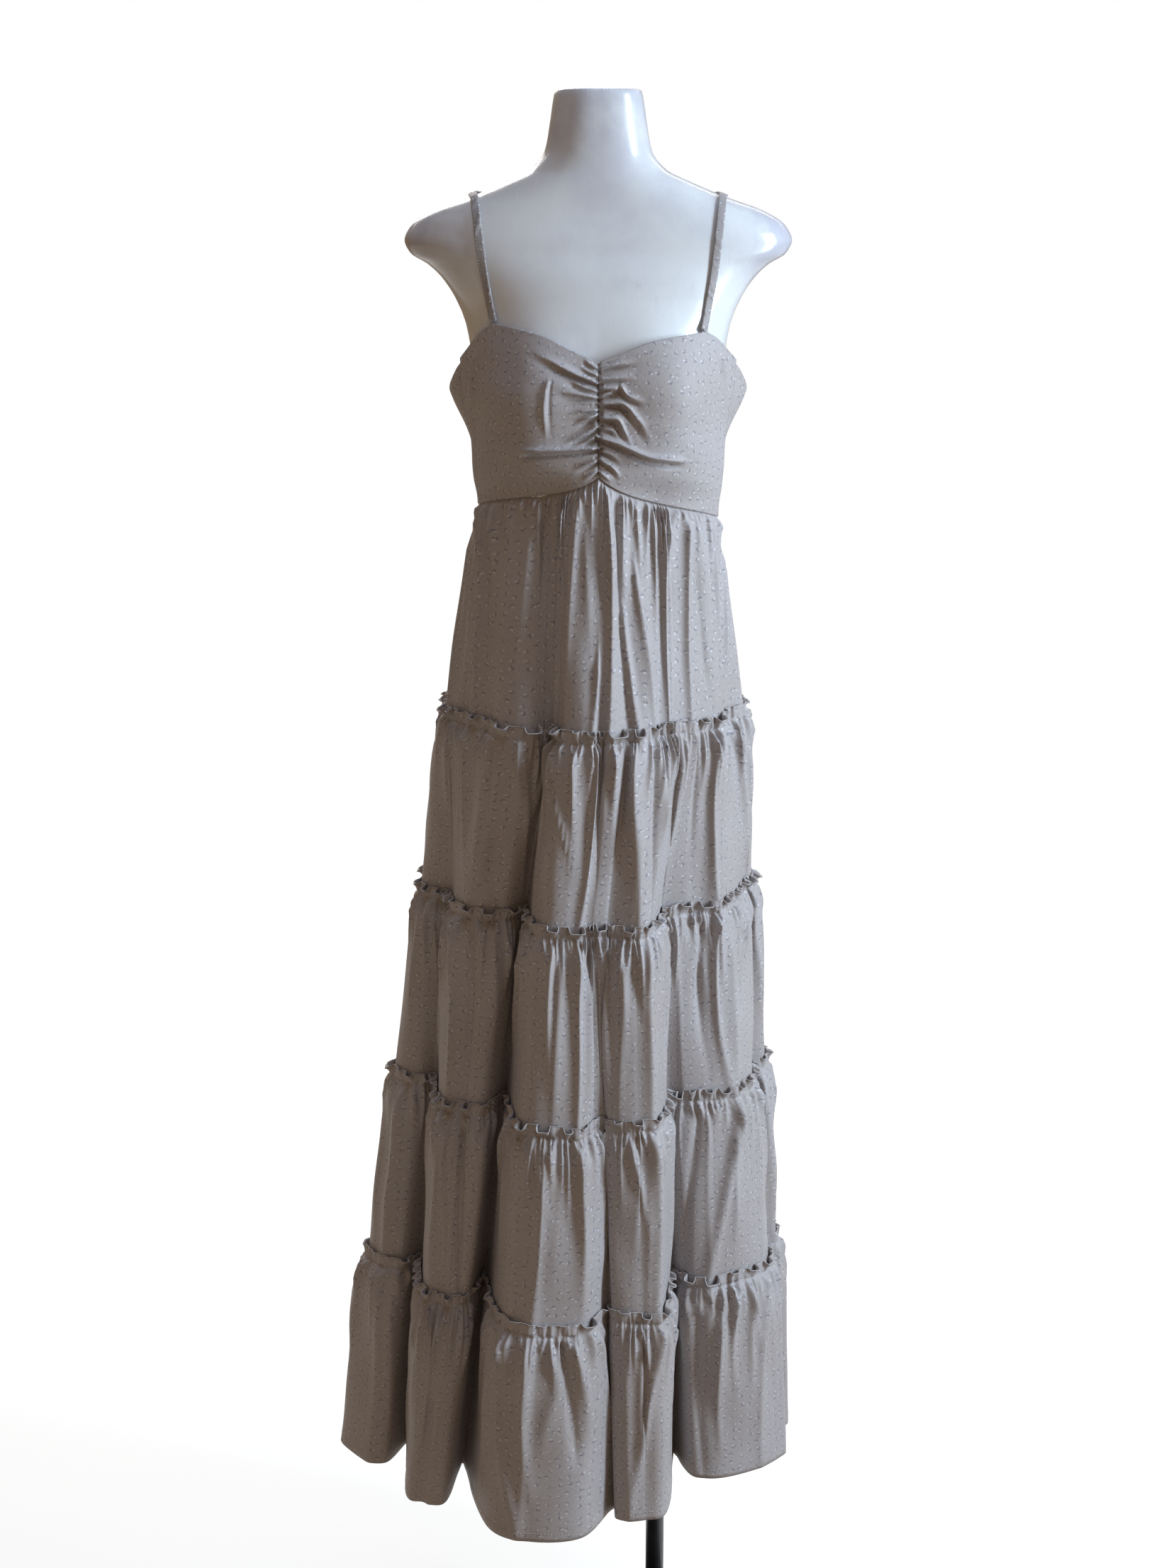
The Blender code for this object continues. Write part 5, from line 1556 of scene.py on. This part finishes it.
def build_strap(name, side, cloth, thread):
    """A turned tube of cloth, pressed flat, with edge stitching and small pull wrinkles."""
    line, out, front, back = strap_line(side)
    from_end = np.arange(STRAP_SAMPLES)
    for end, samples in ((front, from_end), (back, from_end[::-1])):
        blend = ease(samples / STRAP_BLEND)[:, None]
        line = end * (1.0 - blend) + line * blend
    along = np.gradient(line, axis=0)
    along = along / np.linalg.norm(along, axis=1, keepdims=True)
    across = np.cross(along, out)
    across = across / np.linalg.norm(across, axis=1, keepdims=True)
    out = np.cross(across, along)
    place = np.append(0.0, np.cumsum(np.linalg.norm(np.diff(line, axis=0), axis=1)))
    turn = 2.0 * math.pi * np.arange(STRAP_SIDES) / STRAP_SIDES
    wide = np.sign(np.cos(turn)) * np.abs(np.cos(turn)) ** 0.55 * STRAP_WIDTH / 2.0
    thick = np.sign(np.sin(turn)) * np.abs(np.sin(turn)) ** 0.75 * STRAP_THICK / 2.0
    rng = seeded(31, int(side > 0))
    wrinkles = LEFT_WRINKLES if side < 0.0 else RIGHT_WRINKLES
    ripple = np.zeros((len(line), len(turn)))
    for _ in range(wrinkles.count):
        centre = rng.uniform(0.0, place[-1])
        slant = rng.uniform(*wrinkles.slants)
        width = rng.uniform(*WRINKLE_WIDTHS)
        high = rng.uniform(*wrinkles.heights)
        distance = place[:, None] - centre - slant * wide[None, :]
        ripple = ripple + high * np.exp(-(distance / width) ** 2)
    top = np.maximum(np.sin(turn), 0.0)[None, :]
    points = (line[:, None, :] + across[:, None, :] * wide[None, :, None]
              + out[:, None, :] * (thick[None, :] + ripple * top)[:, :, None])
    row, column = grid_places(len(line) - 1, STRAP_SIDES)
    faces = np.stack(corners(row, column, STRAP_SIDES), axis=1)
    section = np.stack([wide, thick], axis=1)
    gaps = np.linalg.norm(np.diff(section, axis=0, append=section[:1]), axis=1)
    round_place = np.append(0.0, np.cumsum(gaps))
    uv = np.stack([np.stack([round_place[column + right], place[row + up]], axis=1)
                   for right, up in ((0, 0), (1, 0), (1, 1), (0, 1))], axis=1).reshape(-1, 2)
    cap = np.array([[0, j, j + 1, j + 2] for j in range(1, STRAP_SIDES - 2, 2)])
    faces = np.concatenate([faces, cap[:, ::-1], cap + (len(line) - 1) * STRAP_SIDES])
    uv = np.concatenate([uv, np.zeros((len(cap) * 8, 2))])
    piece = mesh_piece(name, points.reshape(-1, 3), faces.tolist(), cloth, uv)
    seams = []
    for k, edge in enumerate(STRAP_STITCH_LINES):
        path = line + across * STRAP_WIDTH * edge + out * (STRAP_THICK / 2.0 - 0.00006)
        seams.append(stitches(f"{name}_stitches_{k}", path[3:-3], out[3:-3],
                              0.0022, 0.0009, 0.00022, thread))
    return piece, seams


def ring_piece(name, rings, material, flat_caps):
    """A smooth solid from a stack of rings of points, with its caps; some caps shade flat."""
    sides = len(rings[0])
    row, column = grid_places(len(rings) - 1, sides)
    faces = np.stack(corners(row, column, sides), axis=1).tolist()
    faces.append(list(range(sides))[::-1])
    faces.append([(len(rings) - 1) * sides + k for k in range(sides)])
    item = mesh_piece(name, np.concatenate(rings), faces, material)
    for cap in flat_caps:
        item.data.polygons[cap].use_smooth = False
    return item


FORM_COLUMNS = 128
FORM_BANDS = ((1.10, 14), (1.62, 44), (1.79, 60), (FORM_LEVELS[-1].z, 14))
FORM_RIM = ((1.8322, 0.985), (1.8327, 0.965), (FORM_TOP, 0.93), (FORM_TOP, 0.6), (FORM_TOP, 0.25))


def build_form(material):
    """The dress form's smooth shell, with a rounded rim round the flat top of its neck."""
    bearing = np.arange(FORM_COLUMNS) * 360.0 / FORM_COLUMNS
    angle = np.radians(bearing)
    heights = [FORM_LEVELS[0].z]
    for top, count in FORM_BANDS:
        heights.extend(np.linspace(heights[-1], top, count)[1:])
    rings = []
    for z, share in [(z, 1.0) for z in heights] + list(FORM_RIM):
        reach = form_reach(bearing, min(z, FORM_LEVELS[-1].z)) * share
        rings.append(np.column_stack([reach * np.sin(angle), -reach * np.cos(angle),
                                      np.full(FORM_COLUMNS, z)]))
    return ring_piece("form_shell", rings, material, (-2,))


def turned(name, profile, x, y, sides, material):
    """A smooth solid of revolution from rows of radius and height, closed at both ends."""
    angle = 2.0 * math.pi * np.arange(sides) / sides
    rings = [np.column_stack([x + radius * np.cos(angle), y + radius * np.sin(angle),
                              np.full(sides, z)]) for radius, z in profile]
    return ring_piece(name, rings, material, (-2, -1))


POLE_SIDES = 64
POLE_BEVEL = 0.0005
FOOT_SIDES = 128
FOOT_ROUNDING = 0.006


def build_stand(material):
    """The pole, with its edges rounded, and the round foot."""
    top = FORM_LEVELS[0].z
    pole = turned("pole_steel", (
        (POLE_RADIUS - POLE_BEVEL, BASE_THICK), (POLE_RADIUS, BASE_THICK + POLE_BEVEL),
        (POLE_RADIUS, 0.40), (POLE_RADIUS, 0.80),
        (POLE_RADIUS, top - POLE_BEVEL), (POLE_RADIUS - POLE_BEVEL, top),
    ), POLE_X, POLE_Y, POLE_SIDES, material)
    profile = [(BASE_RADIUS - 0.004, 0.0), (BASE_RADIUS - 0.0012, 0.0008), (BASE_RADIUS, 0.003)]
    for degrees in range(0, 91, 15):
        angle = math.radians(degrees)
        profile.append((BASE_RADIUS - FOOT_ROUNDING + FOOT_ROUNDING * math.cos(angle),
                        BASE_THICK - FOOT_ROUNDING + FOOT_ROUNDING * math.sin(angle)))
    profile.append((BASE_RADIUS - 0.03, BASE_THICK))
    profile.append((0.01, BASE_THICK))
    return pole, turned("foot_steel", profile, 0.0, 0.0, FOOT_SIDES, material)
    return pole, foot


def area_light(name, place, target, size_x, size_y, power, colour):
    """A soft rectangular light that faces a point."""
    data = bpy.data.lights.new(name, "AREA")
    data.shape = "RECTANGLE"
    data.size = size_x
    data.size_y = size_y
    data.energy = power
    data.color = colour
    item = linked(name, data)
    way = np.array(target, float) - np.array(place, float)
    turn = math.atan2(way[1], way[0]) - math.pi / 2.0
    item.location = place
    item.rotation_euler = (math.atan2(math.hypot(way[0], way[1]), -way[2]), 0.0, turn)


FLOOR_RADIUS = 8.0
FLOOR_END = 4.0
FLOOR_SIDES = 128
FLOOR_Z = -0.0005

# The lights: name, place, the point that each faces, its two sides, power and colour
LIGHTS = (
    ("window_right", (1.95, -0.78, 1.80), (0.0, 0.0, 0.95), 0.5, 1.8, 80.0, (0.67, 0.83, 1.0)),
    ("sky_above", (0.0, -0.5, 3.6), (0.0, 0.0, 1.0), 1.2, 1.2, 16.0, (0.46, 0.68, 1.0)),
    ("back_soft", (-0.5, 2.6, 2.9), (0.0, 0.0, 1.0), 1.4, 1.4, 28.0, (1.0, 0.96, 0.92)),
    ("floor_wash", (0.0, 2.5, 3.2), (0.0, 4.0, 0.0), 4.4, 2.0, 170.0, (1.0, 0.99, 0.98)),
)
FILL_COLOUR = (1.0, 0.72, 0.48)
FILL_STRENGTH = 0.250


def build_air():
    """Surroundings that light as a dim warm fill, and that the camera sees as pale."""
    world = bpy.data.worlds.new("studio_air")
    world.use_nodes = True
    tree = world.node_tree
    fill = tree.nodes["Background"]
    feed(tree, fill, {"Color": FILL_COLOUR, "Strength": FILL_STRENGTH})
    pale = node(tree, "ShaderNodeBackground", {"Color": (1.0, 1.0, 1.0), "Strength": 1.0})
    either = node(tree, "ShaderNodeMixShader", {
        "Fac": node(tree, "ShaderNodeLightPath").outputs["Is Camera Ray"],
        1: fill.outputs["Background"], 2: pale.outputs["Background"]})
    feed(tree, tree.nodes["World Output"], {"Surface": either.outputs["Shader"]})
    bpy.context.scene.world = world


def build_studio():
    """Camera, lights, floor and surroundings."""
    scene = bpy.context.scene
    data = bpy.data.cameras.new("camera")
    data.lens = CAMERA_LENS
    data.sensor_width = SENSOR
    camera = linked("camera", data)
    camera.location = CAMERA_AT
    camera.rotation_euler = (math.radians(90.0 - CAMERA_PITCH), 0.0, 0.0)
    scene.camera = camera
    scene.view_settings.view_transform = "Standard"

    turn = 2.0 * math.pi * np.arange(FLOOR_SIDES) / FLOOR_SIDES
    points = np.column_stack([FLOOR_RADIUS * np.cos(turn),
                              FLOOR_END - FLOOR_RADIUS + FLOOR_RADIUS * np.sin(turn),
                              np.full(FLOOR_SIDES, FLOOR_Z)])
    mesh = bpy.data.meshes.new("studio_floor")
    mesh.from_pydata(points.tolist(), [], [tuple(range(FLOOR_SIDES))])
    mesh.materials.append(floor_material())
    floor = linked("studio_floor", mesh)
    floor.visible_diffuse = False
    for light in LIGHTS:
        area_light(*light)
    build_air()


def dress_up(piece, cad_node=None, extras=()):
    """Let a piece and its extras ride with the root body, and stand for a CAD node, which is
    hidden.
    """
    for item in (piece, *extras):
        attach(item, "root")
    if cad_node is not None:
        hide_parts(cad_node)


def main():
    build_studio()
    cloth = cloth_material("crepe_print")
    strap_cloth = cloth_material("crepe_strap", 0.86)
    thread = thread_material("sewing_thread", (0.54, 0.50, 0.49))
    edge_thread = thread_material("edge_thread", (0.38, 0.345, 0.335))

    for number, (piece, extras) in build_skirt(cloth, thread, edge_thread).items():
        dress_up(piece, f"skirt_tier_{number}", extras)

    bodice = build_bodice(cloth)
    for name, panel_node, flat, held in (
        ("front_left_cloth", "bodice_front_left", (0.185, 0.22), "gathered"),
        ("front_right_cloth", "bodice_front_right", (0.185, 0.22), "gathered"),
        ("back_cloth", "bodice_back", (0.48, 0.15), "stretched"),
    ):
        dress_up(bodice[name], panel_node)

    for strap_node, side in (("strap_left", -1.0), ("strap_right", 1.0)):
        piece, seams = build_strap(f"{strap_node}_cloth", side, strap_cloth, thread)
        dress_up(piece, strap_node, seams)

    dress_up(build_form(form_material()), "dress_form")
    pole, foot = build_stand(steel_material())
    dress_up(pole, "stand_pole")
    dress_up(foot, "stand_base")

    total = 0
    for item in bpy.data.objects:
        if item.type == "MESH" and "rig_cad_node" not in item:
            item.data.calc_loop_triangles()
            print("triangles", item.name, len(item.data.loop_triangles))
            total += len(item.data.loop_triangles)
    print("triangles in all", total)


main()
